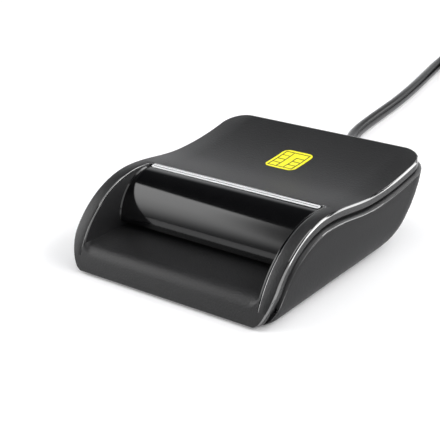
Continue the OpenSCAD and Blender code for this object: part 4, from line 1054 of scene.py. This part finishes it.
strip = bmesh.new()
ring = None
for inset, height in STRIP_RINGS:
    half = STRIP_WIDTH / 2 - inset
    end = half * 0.99
    places = [(x, y, height) for x, y in round_plan(STRIP_HALF - inset, -half, half, end, end)]
    ring = next_ring(strip, ring, places) if ring else first_ring(strip, places)
cap(strip, ring)
bmesh.ops.recalc_face_normals(strip, faces=strip.faces)
bmesh.ops.rotate(strip, verts=strip.verts, cent=(0, 0, 0),
                 matrix=Matrix.Rotation(math.radians(STRIP_SLOPE), 3, "X"))
bmesh.ops.translate(strip, verts=strip.verts, vec=STRIP_PLACE)
settle(strip, "rim_strip", painted_highlight_foil, "strip_silver", "housing", "rim_strip")


# The chip symbol. A thin layer of yellow ink, pad printed behind the dip of the top panel, with
# the outlines of a chip's contacts printed on it in fine dark lines.
SYMBOL_MIDDLE = (0.3, 17.4)
SYMBOL_HALF = (4.75, 5.45)
SYMBOL_CORNER = 1.9
SYMBOL_SINK = 0.05
SYMBOL_STEP = 0.7
INK_THICKNESS = 0.06
LINE_HALF = 0.16
LINE_RISE = 0.03
CELLS_HALF = (3.75, 4.45)  # half the size of the drawn contacts' outer frame
COLUMN = 1.15  # two lines along it lie this far from its middle
SHELF = 1.9  # the right one ends here
LEFT_LINES = (-2.25, 0, 2.25)
RIGHT_LINES = (-2.35, -0.2)


def laid_on_panel(bm, lift):
    """Lays a flat drawing, centred on nothing, onto the top panel at the symbol's place."""
    for v in bm.verts:
        x, y = v.co.x + SYMBOL_MIDDLE[0], v.co.y + SYMBOL_MIDDLE[1]
        v.co = (x, y, outline(y, 0) + lift + v.co.z)


# Both inks are flat and even, with a faint satin sheen
ink = moulded("yellow_pad_print", "#f4ec1c", "#fff62c", (0.38, 0.5), 0.6, 0.004, patch=10 / 3)
line_ink = moulded("dark_pad_print", "#4d4a12", "#5c5818", (0.4, 0.5), 0.6, 0.004, patch=10 / 3)

wide, long = SYMBOL_HALF
print_pad = flat_plate([(-wide, -long), (wide, -long), (wide, long), (-wide, long)],
                       [((i * wide, j * long), SYMBOL_CORNER) for i in (-1, 1) for j in (-1, 1)],
                       INK_THICKNESS + SYMBOL_SINK)
rows(print_pad, spread(-long, long, SYMBOL_STEP), 1)
laid_on_panel(print_pad, INK_THICKNESS)
settle(print_pad, "chip_symbol", ink, "symbol_film", "housing", "chip_symbol")

cell_x, cell_y = CELLS_HALF
bars = [((-cell_x, -cell_y), (cell_x, -cell_y)), ((-cell_x, cell_y), (cell_x, cell_y)),
        ((-cell_x, -cell_y), (-cell_x, cell_y)), ((cell_x, -cell_y), (cell_x, cell_y)),
        ((-COLUMN, -cell_y), (-COLUMN, cell_y)), ((COLUMN, -cell_y), (COLUMN, SHELF)),
        ((COLUMN, SHELF), (cell_x, SHELF))]
bars += [((-cell_x, y), (-COLUMN, y)) for y in LEFT_LINES]
bars += [((COLUMN, y), (cell_x, y)) for y in RIGHT_LINES]
strokes = bmesh.new()
for (x0, y0), (x1, y1) in bars:
    brick(strokes, (x0 - LINE_HALF, y0 - LINE_HALF, -LINE_RISE),
          (x1 + LINE_HALF, y1 + LINE_HALF, LINE_RISE))
rows(strokes, spread(-long, long, SYMBOL_STEP), 1)
laid_on_panel(strokes, INK_THICKNESS)
settle(strokes, "chip_symbol_lines", line_ink, "symbol_film", "housing")
